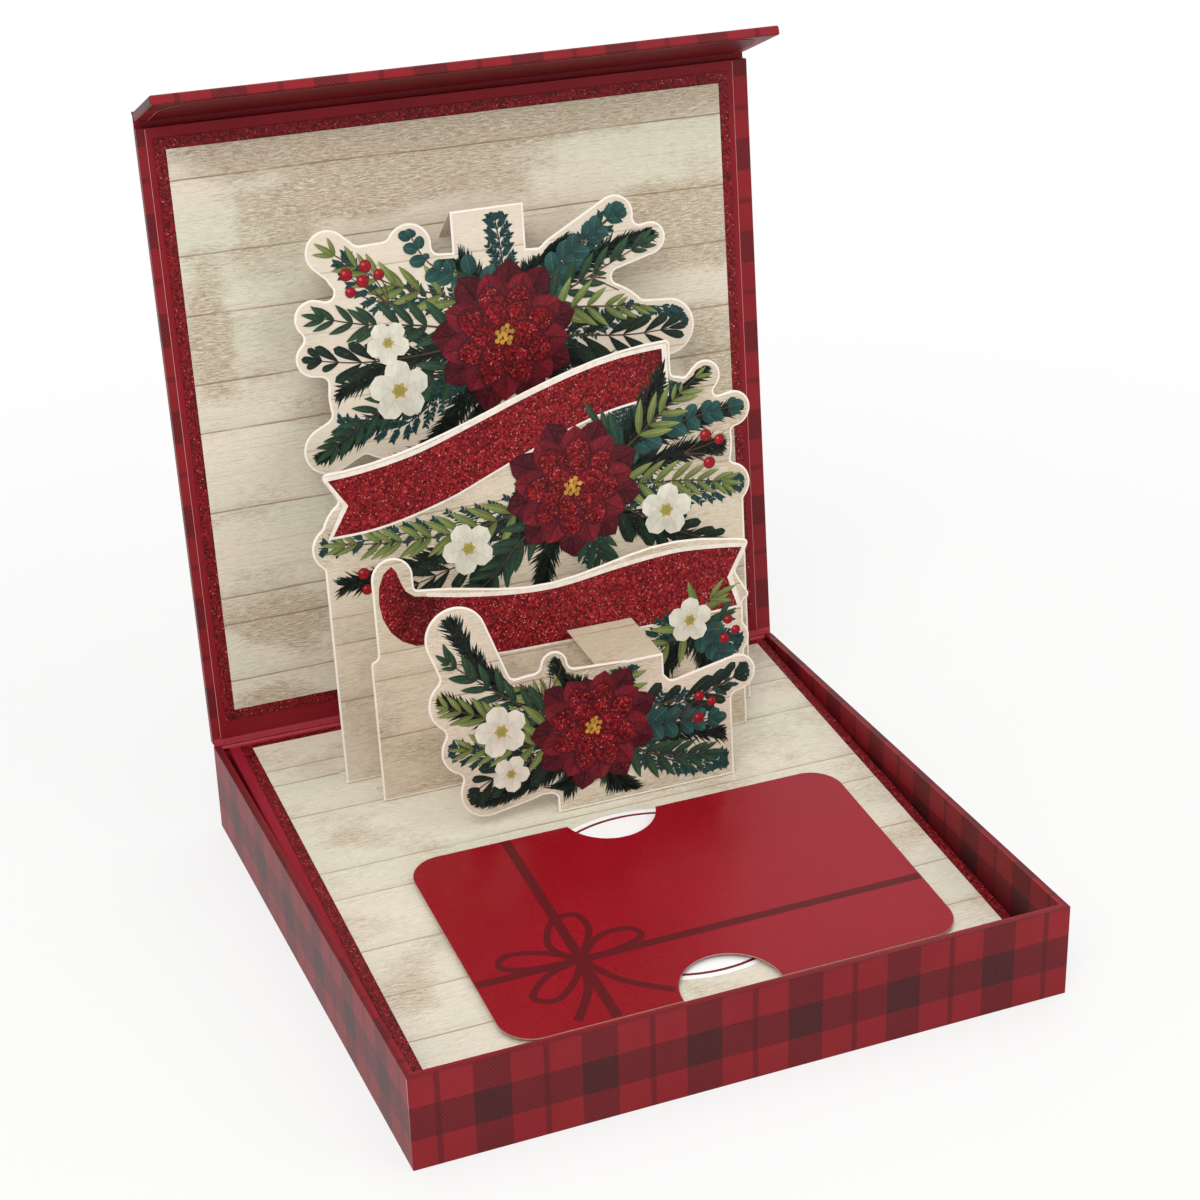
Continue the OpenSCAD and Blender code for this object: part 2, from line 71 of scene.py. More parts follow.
# Turns a drawing in the X and Z directions so that it lies on the platform
FLAT = Matrix.Rotation(math.radians(-90), 4, "X")


def add(name, data):
    obj = bpy.data.objects.new(name, data)
    SCENE.collection.objects.link(obj)
    return obj


# Camera, solved from the box's corners in the photograph

PHOTO = 1200  # pixels, width and height
FOCAL = 2544.3  # pixels
CENTRE = (676.39, 632.68)  # pixels
EYE = Vector((-158.20, -398.57, 267.25))
YAW, PITCH, ROLL = (math.radians(a) for a in (-23.283, 25.873, -0.829))
SENSOR = 36


def place_camera():
    back = Vector((math.sin(YAW) * math.cos(PITCH), -math.cos(YAW) * math.cos(PITCH), math.sin(PITCH)))
    right = (-back).cross(Vector((0, 0, 1))).normalized()
    up = right.cross(-back)
    c, s = math.cos(ROLL), math.sin(ROLL)
    data = bpy.data.cameras.new("camera")
    data.sensor_width = SENSOR
    data.lens = SENSOR * FOCAL / PHOTO
    data.shift_x = (PHOTO / 2 - CENTRE[0]) / PHOTO
    data.shift_y = (CENTRE[1] - PHOTO / 2) / PHOTO
    data.clip_start = 0.02
    camera = add("camera", data)
    turn = Matrix((c * right + s * up, c * up - s * right, back)).transposed().to_4x4()
    camera.matrix_world = Matrix.Translation(EYE * MM) @ turn
    SCENE.camera = camera


place_camera()


# Node trees

def srgb(r, g, b):
    def linear(c):
        c /= 255
        return c / 12.92 if c <= 0.04045 else ((c + 0.055) / 1.055) ** 2.4
    return (linear(r), linear(g), linear(b), 1.0)


class Nodes:
    """A node tree, with short calls for the nodes that the patterns use."""

    def __init__(self, tree):
        self.tree = tree

    def put(self, socket, value):
        if isinstance(value, bpy.types.NodeSocket):
            self.tree.links.new(value, socket)
        elif value is not None:
            socket.default_value = value

    def node(self, kind, settings=None, *values, **inputs):
        """A node with settings. Inputs are given by their order or by name."""
        n = self.tree.nodes.new("ShaderNode" + kind)
        for key, value in (settings or {}).items():
            setattr(n, key, value)
        for socket, value in zip(n.inputs, values):
            self.put(socket, value)
        for key, value in inputs.items():
            self.put(n.inputs[key], value)
        return n

    def math(self, operation, *values):
        return self.node("Math", {"operation": operation}, *values).outputs[0]

    def plus(self, a, b):
        return self.math("ADD", a, b)

    def minus(self, a, b):
        return self.math("SUBTRACT", a, b)

    def times(self, a, b):
        return self.math("MULTIPLY", a, b)

    def off_centre(self, value):
        """How far value is from a half."""
        return self.math("ABSOLUTE", self.minus(value, 0.5))

    def vector(self, operation, *values):
        n = self.node("VectorMath", {"operation": operation}, *values)
        return n.outputs["Value" if operation in ("DOT_PRODUCT", "LENGTH") else "Vector"]

    def scaled(self, vector, scale):
        return self.vector("SCALE", vector, None, None, scale)

    def stretch(self, vector, x, y, z, shift=(0, 0, 0)):
        return self.vector("MULTIPLY", self.vector("ADD", vector, shift), (x, y, z))

    def split(self, vector):
        return self.node("SeparateXYZ", None, vector).outputs

    def join(self, x, y, z=0.0):
        return self.node("CombineXYZ", None, x, y, z).outputs[0]

    def step(self, value, low, high, out_low=0.0, out_high=1.0):
        """Rises smoothly from out_low to out_high as value goes from low to high."""
        smooth = {"interpolation_type": "SMOOTHSTEP"}
        return self.node("MapRange", smooth, value, low, high, out_low, out_high).outputs[0]

    def mix(self, factor, a, b, blend="MIX"):
        n = self.node("Mix", {"data_type": "RGBA", "blend_type": blend})
        for i, value in ((0, factor), (6, a), (7, b)):
            self.put(n.inputs[i], value)
        return n.outputs[2]

    def noise(self, vector, detail=3.0, rough=0.5):
        return self.node("TexNoise", Vector=vector, Scale=1.0, Detail=detail, Roughness=rough).outputs[0]

    def cells(self, vector):
        return self.node("TexVoronoi", Vector=vector, Scale=1.0).outputs

    def random(self, value):
        return self.node("TexWhiteNoise", {"noise_dimensions": "1D"}, W=value).outputs["Value"]

    def place(self):
        """Coordinates on the piece, in millimetres."""
        return self.scaled(self.node("TexCoord").outputs["Object"], 1 / MM)

    def uv(self):
        return self.split(self.node("UVMap", {"uv_map": "mm"}).outputs["UV"])

    def ink(self):
        """The colour that a drawing's mesh holds."""
        return self.node("VertexColor", {"layer_name": "ink"}).outputs["Color"]

    def facing(self, direction, low=0.6, high=0.75):
        """1 on the faces that look along direction, 0 on the others."""
        dot = self.vector("DOT_PRODUCT", self.node("TexCoord").outputs["Normal"], direction)
        return self.step(dot, low, high)

    def seen(self):
        """1 for rays from the camera, also by a mirror or glass, and 0 for the rays that light the scene."""
        ray = self.node("LightPath").outputs
        direct = self.math("MAXIMUM", ray["Is Camera Ray"], ray["Is Glossy Ray"])
        return self.math("MAXIMUM", direct, ray["Is Transmission Ray"])


class Paint(Nodes):
    """A material's node tree."""

    def __init__(self, name, roughness=0.5, **principled):
        self.material = bpy.data.materials.new(name)
        self.material.use_nodes = True
        super().__init__(self.material.node_tree)
        self.shader = self.tree.nodes["Principled BSDF"]
        self.shader.inputs["Roughness"].default_value = roughness
        for key, value in principled.items():
            self.shader.inputs[key.replace("_", " ")].default_value = value

    def bump(self, height, distance, strength=1.0):
        n = self.node("Bump", Height=height, Distance=distance * MM, Strength=strength)
        self.put(self.shader.inputs["Normal"], n.outputs[0])

    def finish(self, color, roughness=None):
        self.put(self.shader.inputs["Base Color"], color)
        self.put(self.shader.inputs["Roughness"], roughness)
        return self.material


# Card and wood prints

CARD_EDGE = srgb(232, 224, 210)
CARD_BACK = srgb(236, 233, 224)
PLANK = 13.0


def bare_card(t, p, tone=CARD_BACK):
    """The colour of unprinted card, with faint fibres."""
    fibre = t.noise(t.stretch(p, 1.4, 1.4, 0.9), 4, 0.6)
    cloud = t.noise(t.scaled(p, 0.09), 2)
    c = t.mix(t.step(fibre, 0.42, 0.66, 0.0, 0.10), tone, srgb(186, 176, 158))
    return t.mix(t.step(cloud, 0.35, 0.7, 0.0, 0.10), c, srgb(205, 196, 180))


def white_card(name, tone=CARD_BACK):
    t = Paint(name, 0.6, Specular_IOR_Level=0.15)
    p = t.place()
    t.bump(t.noise(t.scaled(p, 2.2), 4, 0.6), 0.01)
    return t.finish(bare_card(t, p, tone))


def planks(t, v):
    """Planks of uneven width: a plank's row, its random number, and the height over its lower joint."""
    cell = t.math("FLOOR", t.math("DIVIDE", v, PLANK))

    def joint(row):
        return t.times(t.plus(row, t.math("MULTIPLY_ADD", t.random(row), 0.72, 0.14)), PLANK)

    here, below = joint(cell), joint(t.minus(cell, 1.0))
    above = t.math("GREATER_THAN", v, here)
    row = t.plus(cell, above)
    start = t.plus(below, t.times(t.minus(here, below), above))
    return row, t.random(t.plus(row, 0.37)), t.minus(v, start)


def spotted(t, stain_and_shade_amount, x, v, spots):
    """Adds round spots to the stain mask; on the lid's top a spot is also painted shade under the flap. Each
    has its middle, its two radii and an amount.
    """
    for sx, sv, rx, rv, amount in spots:
        dx = t.math("DIVIDE", t.minus(x, sx), rx)
        dv = t.math("DIVIDE", t.minus(v, sv), rv)
        far = t.math("SQRT", t.plus(t.times(dx, dx), t.times(dv, dv)))
        stain_and_shade_amount = t.plus(stain_and_shade_amount, t.step(far, 1.0, 0.0, 0.0, amount))
    return stain_and_shade_amount


def wood_print(name, up, shift, face, brown, pale=0.0, spots=(), cool=(215, 212, 192),
               warm=(227, 216, 198)):
    """Printed planks along X, cream with tan stains. Faces that don't look along face are bare card."""
    t = Paint(name, 0.5, Specular_IOR_Level=0.15)
    p = t.place()
    xyz = t.split(p)
    x = t.plus(xyz["X"], shift[0])
    v = t.plus(xyz[up], shift[1])
    wobble = t.noise(t.join(t.times(x, 0.03), t.times(v, 0.06)), 2)
    v = t.plus(v, t.times(t.minus(wobble, 0.5), 0.8))
    row, own, up_row = planks(t, v)
    along = t.plus(x, t.times(own, 173.0))
    flat = t.join(along, v)

    tone = t.noise(t.stretch(flat, 0.014, 0.045, 1), 3)
    light = t.mix(t.step(tone, 0.36, 0.62), srgb(*cool), srgb(*warm))
    light = t.mix(t.step(own, 0.1, 0.9, 0.0, 0.35), light, srgb(*(c - 9 for c in cool)))
    cloud = t.noise(t.stretch(t.join(x, v), 0.035, 0.06, 1, (31, 7, 0)), 4, 0.6)
    sway = t.noise(t.stretch(flat, 0.07, 0.25, 1, (0, 50, 0)), 2)
    swayed = t.vector("ADD", flat, t.join(0.0, t.times(sway, 3.0)))
    grain = t.noise(t.stretch(swayed, 0.42, 4.4, 1), 7, 0.80)
    hair = t.noise(t.stretch(flat, 0.035, 4.2, 1, (0, 33, 0)), 3, 0.6)
    flecks = t.noise(t.stretch(flat, 1.7, 3.2, 1, (5, 90, 0)), 6, 0.8)
    stain_and_shade_amount = spotted(t, t.plus(t.times(cloud, 1.2), t.times(grain, 0.30)), xyz["X"], xyz[up], spots)
    # The stain mask holds real stains, and also painted shade where a spot asks for it, as along the lid's
    # top
    stain_and_shade = t.step(stain_and_shade_amount, 0.76 - brown * 0.18, 1.06 - brown * 0.18)
    c = t.mix(t.times(stain_and_shade, 0.58 + 0.17 * brown), light, srgb(168, 145, 117))
    # Streaks of the grain, and rubbed flecks that are white where the print is stained
    deep = t.math("MULTIPLY_ADD", stain_and_shade, 0.42, 0.24 + 0.10 * brown)
    c = t.mix(t.times(t.step(grain, 0.49, 0.60), deep), c, srgb(140, 120, 90))
    c = t.mix(t.step(hair, 0.57, 0.66, 0.0, 0.34), c, srgb(148, 128, 98))
    c = t.mix(t.times(t.step(flecks, 0.54, 0.64), deep), c, srgb(146, 122, 90))
    rub = t.times(t.step(grain, 0.49, 0.41), t.math("MULTIPLY_ADD", stain_and_shade, 0.40, 0.26))
    c = t.mix(rub, c, srgb(234, 229, 212))
    rub = t.times(t.step(flecks, 0.45, 0.37), t.math("MULTIPLY_ADD", stain_and_shade, 0.34, 0.16))
    c = t.mix(rub, c, srgb(236, 230, 214))
    # Joints between the planks
    fade = t.noise(t.join(t.times(along, 0.06), t.times(row, 3.7)), 3, 0.6)
    c = t.mix(t.step(up_row, 2.4, 0.0, 0.0, 0.16), c, srgb(170, 148, 120))
    edge = t.plus(0.26, t.times(t.minus(fade, 0.5), 0.3))
    line = t.step(t.minus(up_row, edge), 0.14, -0.06)
    c = t.mix(t.times(line, t.step(fade, 0.28, 0.55, 0.30, 0.82)), c, srgb(142, 116, 84))
    if pale:
        c = t.mix(pale, c, srgb(230, 221, 207))
    t.bump(t.plus(grain, t.times(flecks, 0.6)), 0.012)
    return t.finish(t.mix(t.facing(face), bare_card(t, p, CARD_EDGE), c))


# Papers, glitter, board and steel

def clouded(t, p, scale, low, high):
    """Two tones in soft clouds."""
    return t.mix(t.step(t.noise(t.scaled(p, scale), 3), 0.3, 0.7), low, high)


def specks(t, p, c, scale, edge, rare, amount, ink):
    """Rubbed specks of ink over c. Only the cells whose random number is above rare have one."""
    dust = t.cells(t.scaled(p, scale))
    near = t.step(dust["Distance"], *edge)
    chosen = t.math("GREATER_THAN", t.split(dust["Color"])["X"], rare)
    return t.mix(t.times(t.times(near, chosen), amount), c, ink)


def red_paper(name, tone, low, high, roughness=0.5):
    """Smooth dyed lining paper, with soft clouds and fine fibres."""
    t = Paint(name, roughness, Specular_IOR_Level=0.14)
    p = t.place()
    fibre = t.noise(t.scaled(p, 3.1), 5, 0.65)
    c = clouded(t, p, 0.05, low, high)
    c = t.mix(t.step(fibre, 0.4, 0.75, 0.0, 0.30), c, tone)
    c = specks(t, p, c, 0.22, (0.0455, 0.0445), 0.93, 0.45, srgb(214, 160, 150))
    t.bump(fibre, 0.010)
    return t.finish(c, t.step(fibre, 0.3, 0.8, roughness - 0.06, roughness + 0.08))


def glitter(name, dark, mid, painted_sparkle_color, use_ink=False, grow=1.0, painted_sparkle=1.0):
    """Glitter flakes: small cells that tilt each their own way. Some clumps and flakes and a few glints are
    painted brighter, a painted sparkle.
    """
    t = Paint(name, 0.4, Specular_IOR_Level=0.2, Metallic=0.1)
    p = t.place()
    clumps = t.cells(t.scaled(p, 1 / (0.40 * grow)))["Color"]
    flakes = t.cells(t.scaled(p, 1 / (0.19 * grow)))["Color"]
    one, two = t.split(clumps), t.split(flakes)
    c = t.mix(t.step(one["X"], 0.1, 0.9), dark, mid)
    c = t.mix(t.step(two["X"], 0.35, 1.0, 0.0, 0.55), c, dark)
    # Painted sparkle: clumps and flakes mixed towards the brighter colour, then rare painted glints
    c = t.mix(t.times(t.step(one["Y"], 1 - 0.18 * painted_sparkle, 0.98), 0.45), c, painted_sparkle_color)
    c = t.mix(t.times(t.step(two["Y"], 1 - 0.12 * painted_sparkle, 0.99), 0.55), c, painted_sparkle_color)
    painted_glint = t.math("GREATER_THAN", two["Z"], 1 - 0.011 * painted_sparkle)
    c = t.mix(t.times(painted_glint, 0.7), c, srgb(228, 140, 132))
    if use_ink:
        c = t.mix(1.0, c, t.ink(), "MULTIPLY")
    tilt = t.scaled(t.vector("SUBTRACT", flakes, (0.5, 0.5, 0.5)), 0.55)
    normal = t.vector("NORMALIZE", t.vector("ADD", t.node("NewGeometry").outputs["Normal"], tilt))
    t.put(t.shader.inputs["Normal"], normal)
    return t.finish(c, t.step(two["Z"], 0.0, 1.0, 0.28, 0.6))


def plaid(name):
    """Printed plaid wrapping paper. The UV map gives millimetres across and up."""
    period = 19.5
    t = Paint(name, 0.40, Specular_IOR_Level=0.15)
    p = t.place()
    uv = t.uv()
    fuzz = t.times(t.minus(t.noise(t.scaled(p, 2.4), 3), 0.5), 0.25)

    def band(value, centre, half, soft=0.10):
        """1 within half of the lines at centre plus whole periods."""
        turns = t.math("FRACT", t.plus(t.math("DIVIDE", t.minus(value, centre), period), 0.5))
        off = t.plus(t.times(t.off_centre(turns), period), fuzz)
        return t.step(off, half + soft, half - soft)

    wide_v, wide_h = band(uv["X"], 9.75, 3.35), band(uv["Y"], 9.35, 3.35)
    thin_v, thin_h = band(uv["X"], 0.0, 0.52), band(uv["Y"], 19.1, 0.52)
    twill = t.math("FRACT", t.math("DIVIDE", t.minus(uv["X"], uv["Y"]), 0.86))
    twill = t.step(t.off_centre(twill), 0.20, 0.30)
    both = t.times(wide_v, wide_h)
    one = t.minus(t.plus(wide_v, wide_h), t.times(both, 2.0))
    c = clouded(t, p, 0.07, srgb(126, 27, 34), srgb(136, 31, 38))
    c = t.mix(t.times(one, t.plus(t.times(twill, 0.52), 0.34)), c, srgb(70, 22, 27))
    c = t.mix(both, c, srgb(66, 26, 29))
    c = t.mix(t.times(thin_v, 0.55), c, srgb(68, 20, 26))
    c = t.mix(t.times(thin_h, 0.45), c, srgb(68, 20, 26))
    fibre = t.noise(t.scaled(p, 2.6), 5, 0.65)
    c = t.mix(t.step(fibre, 0.45, 0.8, 0.0, 0.20), c, srgb(156, 54, 58))
    c = specks(t, p, c, 0.30, (0.075, 0.05), 0.955, 0.25, srgb(226, 168, 150))
    t.bump(fibre, 0.012)
    return t.finish(c, t.step(fibre, 0.3, 0.8, 0.36, 0.52))


def gloss_red(name):
    """Coated red card, with a paler cut edge."""
    t = Paint(name, 0.30, Specular_IOR_Level=0.20, Coat_Weight=0.10, Coat_Roughness=0.16)
    p = t.place()
    c = clouded(t, p, 0.03, srgb(136, 6, 22), srgb(146, 12, 30))
    c = specks(t, p, c, 0.16, (0.05, 0.03), 0.9, 0.5, srgb(220, 150, 140))
    c = t.mix(t.facing(PLATFORM_UP, 0.5, 0.8), t.mix(0.45, c, bare_card(t, p, CARD_EDGE)), c)
    t.bump(t.noise(t.scaled(p, 0.5), 3), 0.02, 0.6)
    return t.finish(c, t.step(t.noise(t.scaled(p, 1.6), 4, 0.6), 0.3, 0.8, 0.26, 0.36))


def greyboard(name):
    t = Paint(name, 0.8, Specular_IOR_Level=0.2)
    fibre = t.noise(t.stretch(t.place(), 1.2, 1.2, 3.0), 5, 0.7)
    t.bump(fibre, 0.03)
    return t.finish(t.mix(t.step(fibre, 0.35, 0.7), srgb(132, 124, 110), srgb(164, 156, 140)))


def steel(name):
    t = Paint(name, 0.3, Metallic=1.0)
    brushed = t.noise(t.stretch(t.place(), 0.4, 0.4, 6.0), 4, 0.6)
    c = t.mix(t.step(brushed, 0.3, 0.7), srgb(150, 150, 155), srgb(190, 190, 196))
    return t.finish(c, t.step(brushed, 0.3, 0.7, 0.25, 0.4))


# Number of side ribs, their strength and ink, the middle rib's strength and ink, and where the dark rim
# starts and its strength
RIBS = {
    "leaf": (7.0, 0.22, (1.9, 1.9, 1.7, 1), 0.55, (2.4, 2.3, 2.0, 1), 0.40, 0.35),
    "petal": (5.0, 0.50, (0.42, 0.4, 0.42, 1), 0.65, (0.35, 0.32, 0.36, 1), 0.36, 0.60),
}


def ink_material(name, kind):
    """Printed ink on card. Its colour comes from the drawing, its ribs and edges from the UV map."""
    clean = kind == "clean"
    t = Paint(name, 0.32 if clean else 0.5, Specular_IOR_Level=0.15)
    p = t.place()
    brush = t.noise(t.stretch(p, 0.9, 0.9, 0.5), 3)
    if clean:
        return t.finish(t.mix(t.step(brush, 0.3, 0.7, 0.0, 0.10), t.ink(), (0.8, 0.8, 0.8, 1), "MULTIPLY"))
    c = t.mix(t.step(brush, 0.35, 0.7, 0.0, 0.22), t.ink(), (0.45, 0.45, 0.45, 1), "MULTIPLY")
    c = t.mix(t.step(t.noise(t.scaled(p, 2.8), 4, 0.6), 0.5, 0.8, 0.0, 0.12), c, srgb(190, 176, 158))
    if kind in RIBS:
        count, side_depth, side_ink, rib_depth, rib_ink, rim_start, rim_depth = RIBS[kind]
        uv = t.uv()
        across = t.off_centre(uv["X"])
        comb = t.math("FRACT", t.times(t.minus(uv["Y"], t.times(across, 0.55)), count))
        side = t.times(t.step(t.off_centre(comb), 0.10, 0.03), t.step(across, 0.47, 0.36))
        c = t.mix(t.times(side, side_depth), c, side_ink, "MULTIPLY")
        c = t.mix(t.step(across, 0.055, 0.02, 0.0, rib_depth), c, rib_ink, "MULTIPLY")
        c = t.mix(t.step(across, rim_start, 0.5, 0.0, rim_depth), c, (0.45, 0.42, 0.45, 1), "MULTIPLY")
    return t.finish(c)


# This box's materials

FRONT = (0, -1, 0)
PLAID = plaid("plaid_paper")
LINING = red_paper("lining", srgb(148, 46, 55), srgb(120, 18, 28), srgb(132, 22, 34), 0.42)
# The flap's lining is the lid's lining paper in darker tones: painted shade on the flap's underside
SHADED_FLAP_LINING = red_paper("flap_lining", srgb(124, 38, 44), srgb(98, 16, 22), srgb(110, 20, 28))
PLATFORM_RED = red_paper("platform_red", srgb(160, 50, 60), srgb(140, 24, 42), srgb(150, 30, 48), 0.42)
# Lining paper made paler and pinker: painted light on the hinge strip, which lies in the lid's shadow
HINGE_RED_PAINTED_LIGHT = red_paper("hinge_red_painted_light", srgb(200, 110, 112), srgb(166, 54, 66), srgb(178, 62, 74), 0.4)
# The third colour of each glitter is its painted sparkle colour
GLITTER = glitter("glitter_card", srgb(72, 5, 10), srgb(134, 17, 27), srgb(184, 48, 54))
GLITTER_INK = glitter("glitter_ink", srgb(74, 4, 12), srgb(138, 15, 27), srgb(206, 62, 60), True, 1.15, 1.7)
PLATFORM_WOOD = wood_print(
    "platform_wood", "Y", (7, 3), PLATFORM_UP, 0.22, 0.10,
    spots=((-50, -28, 9, 14, 0.30), (-48, 25, 12, 10, 0.22), (40, 20, 16, 12, 0.2)))
# The first spot, a wide band along the lid's top, is browner print and also painted shade under the flap
LID_WOOD = wood_print(
    "lid_wood", "Z", (20, 4), FRONT, 0.10,
    spots=((0, 139, 95, 9, 0.80), (-20, 128, 50, 9, 0.38), (46, 112, 26, 13, 0.62), (-54, 104, 7, 18, 0.40),
           (-46, 44, 20, 9, 0.40), (52, 76, 12, 30, 0.50), (-50, 26, 16, 6, 0.45)))
LAYER_WOOD = {
    n: wood_print("layer_wood_" + n, "Z", s, FRONT, b, w, cool=(214, 200, 176), warm=(226, 210, 188))
    for n, s, b, w in (
        ("back_spray", (40, 8), 0.1, 0.40), ("upper_banner", (90, 2), 0.45, 0.12),
        ("lower_banner", (150, 7), 0.55, 0.08), ("front_spray", (210, 5), 0.5, 0.15))
}
STRAP_WOOD = wood_print("strap_print", "Y", (30, 5), (0, 0, 1), 0.4, cool=(196, 181, 156),
                        warm=(208, 192, 166))
FOOT_WOOD = wood_print("foot_wood", "Y", (70, 3), PLATFORM_UP, 0.4)
TAB_WOOD = wood_print("strap_wood", "Z", (11, 9), FRONT, 0.3, 0.4)
WHITE = white_card("white_card")
PALE_EDGE = white_card("pale_edge", srgb(188, 116, 106))
SEAM_EDGE = white_card("seam_edge", srgb(206, 150, 140))
RIM = white_card("cut_rim", srgb(246, 238, 226))
INKS = {kind: ink_material("ink_" + kind, kind) for kind in ("leaf", "petal", "plain", "clean")}
INKS["glitter"] = GLITTER_INK
INK_KINDS = list(INKS)


def dress(material, *nodes):
    for n in nodes:
        data = NODES[n].data
        data.materials.clear()
        data.materials.append(material)


dress(PLATFORM_RED, "platform_top", "platform_left_side", "platform_right_side", "platform_front_side")
dress(LINING, "lid_lining", "base_sheet")
dress(SHADED_FLAP_LINING, "flap_lining")
dress(HINGE_RED_PAINTED_LIGHT, "hinge_strip")
dress(GLITTER, "platform_glitter_card", "lid_glitter_card")
dress(PLATFORM_WOOD, "platform_print_card")
dress(LID_WOOD, "lid_print_card")
dress(gloss_red("gloss_red"), "pocket_card")
dress(WHITE, "pocket_left_strip", "pocket_right_strip")
dress(STRAP_WOOD, "back_strap", "upper_strap", "lower_strap", "front_strap")
dress(FOOT_WOOD, *(node + "_foot" for node in LAYERS))
dress(TAB_WOOD, "back_strap_tab")
dress(greyboard("greyboard"), "base_board", "front_board", "back_board", "left_board", "right_board",
      "lid_board", "flap_board")
dress(steel("plated_steel"), "tray_magnets", "flap_magnets")


# Meshes

def make(name, verts, faces, mats, at=Matrix(), face_mats=None, uvs=None, inks=None):
    """A mesh object from millimetre vertices. uvs and inks hold one value for each corner of each face."""
    mesh = bpy.data.meshes.new(name)
    mesh.from_pydata([tuple((at @ Vector(v)) * MM) for v in verts], [], faces)
    for m in mats:
        mesh.materials.append(m)
    if face_mats:
        mesh.polygons.foreach_set("material_index", face_mats)
    if uvs:
        mesh.uv_layers.new(name="mm").data.foreach_set("uv", [c for uv in uvs for c in uv])
    if inks:
        ink = mesh.color_attributes.new(name="ink", type="FLOAT_COLOR", domain="CORNER")
        ink.data.foreach_set("color", [c for col in inks for c in col])
    mesh.update()
    return add(name, mesh)


def rounded(obj, width):
    for polygon in obj.data.polygons:
        polygon.use_smooth = True
    bevel = obj.modifiers.new("rounded", "BEVEL")
    bevel.width = width * MM
    bevel.segments = 3
    bevel.limit_method = "ANGLE"
    bevel.angle_limit = math.radians(35)
    bevel.harden_normals = True


def mapped(verts, faces, uv_of):
    """UVs of each corner from uv_of(normal, point)."""
    out = []
    for face in faces:
        a, b, c = (Vector(verts[i]) for i in face[:3])
        normal = (b - a).cross(c - a).normalized()
        out += [uv_of(normal, Vector(verts[i])) for i in face]
    return out


def block(half, y0, y1, z0, z1):
    """The corners of a block that reaches half to the left and to the right."""
    return [(side * half, y, z) for z in (z0, z1) for y in (y0, y1) for side in (-1, 1)]


BLOCK_FACES = [(0, 1, 5, 4), (3, 2, 6, 7), (2, 0, 4, 6), (1, 3, 7, 5), (4, 5, 7, 6), (2, 3, 1, 0)]


def wrapped_slab(name, size, at, body, node, uv_of, lined, skin=None):
    """A paper-covered board with rounded edges. skin is a strip of paper that runs on past the board."""
    verts, faces = block(*size), list(BLOCK_FACES)
    if skin:
        faces += [tuple(len(verts) + i for i in face) for face in BLOCK_FACES]
        verts += block(*skin)
    mats = [1 if i in lined else 0 for i in range(len(faces))]
    obj = make(name, verts, faces, [PLAID, LINING], at, mats, mapped(verts, faces, uv_of))
    rounded(obj, 0.42)
    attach(obj, body)
    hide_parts(node)


# Tray wrapping paper: outer walls, rims and inner walls as one folded shell

def tray_shell():
    back_wall = 62.3
    inside_top = 1.75
    back_top = WALL_TOP - PAPER

    def ring(x, front, back):
        return [(-x, -front), (x, -front), (x, back_wall), (x, back), (-x, back), (-x, back_wall)]

    bare, thin = HALF - PAPER, HALF - WALL
    outer, inner, foot = ring(HALF, HALF, HALF), ring(thin, thin, bare), ring(bare, bare, bare)
    tops = [WALL_TOP, WALL_TOP, WALL_TOP, back_top, back_top, WALL_TOP]
    verts = [(x, y, 0) for x, y in outer] + [(x, y, z) for (x, y), z in zip(outer, tops)]
    verts += [(x, y, z) for (x, y), z in zip(inner, tops)] + [(x, y, inside_top) for x, y in inner]
    verts += [(x, y, 0) for x, y in foot]
    faces = []
    for i in range(6):
        j = (i + 1) % 6
        for a, b in ((0, 6), (6, 12), (12, 18), (18, 24), (24, 0)):
            faces.append((a + i, a + j, b + j, b + i))

    def uv_of(n, p):
        level = abs(n.z) > 0.7
        front = abs(p.y) > abs(p.x) if level else abs(n.y) > 0.7
        along, out = (p.x, abs(p.y)) if front else (p.y, abs(p.x))
        if level:
            return (along, WALL_TOP + HALF - out)
        outside = n.dot(Vector((p.x, p.y, 0))) > 0
        return (along, p.z if outside else 2 * WALL_TOP + WALL - p.z)

    obj = make("tray_paper", verts, faces, [PLAID], uvs=mapped(verts, faces, uv_of))
    rounded(obj, 0.38)
    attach(obj, "tray")
    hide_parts("tray_wrap")


tray_shell()


def sheet_uv(n, p):
    """Paper wrapped round a board: the pattern runs on over its edges."""
    if abs(n.x) > 0.7:
        return (math.copysign(HALF + SLAB - p.y, p.x), p.z)
    return (p.x, p.z + (SLAB - p.y if abs(n.z) > 0.7 else 0))


wrapped_slab("lid_paper", (HALF, 0, SLAB, 0.15, 126.4), LID, "lid", "lid_wrap", sheet_uv, (4, 6),
             (HALF - 0.05, 1.72, SLAB, 125.5, CREASE - CREASE_RADIUS))
wrapped_slab("flap_paper", (HALF, -BOARD, PAPER, 0.45, 18.85), FLAP, "flap", "flap_wrap",
             lambda n, p: sheet_uv(n, p + Vector((0, 0, CREASE))), (5,))


def strip(name, x, points, at, body, mats, face_mats=None, uv_start=0.0):
    """A strip of paper across the box that follows the points of its cross-section."""
    verts = [(side * x, y, z) for y, z in points for side in (-1, 1)]
    faces = [(2 * i, 2 * i + 1, 2 * i + 3, 2 * i + 2) for i in range(len(points) - 1)]
    uvs, run = [], uv_start
    for a, b in zip(points, points[1:]):
        far = run + math.dist(a, b)
        uvs += [(-x, run), (x, run), (x, far), (-x, far)]
        run = far
    obj = make(name, verts, faces, mats, at, face_mats, uvs)
    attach(obj, body)
    return obj


def circle(x, z, r, n, squash=1.0):
    turn = [2 * math.pi * i / n for i in range(n)]
    return [(x + r * math.cos(a), z + r * squash * math.sin(a)) for a in turn]


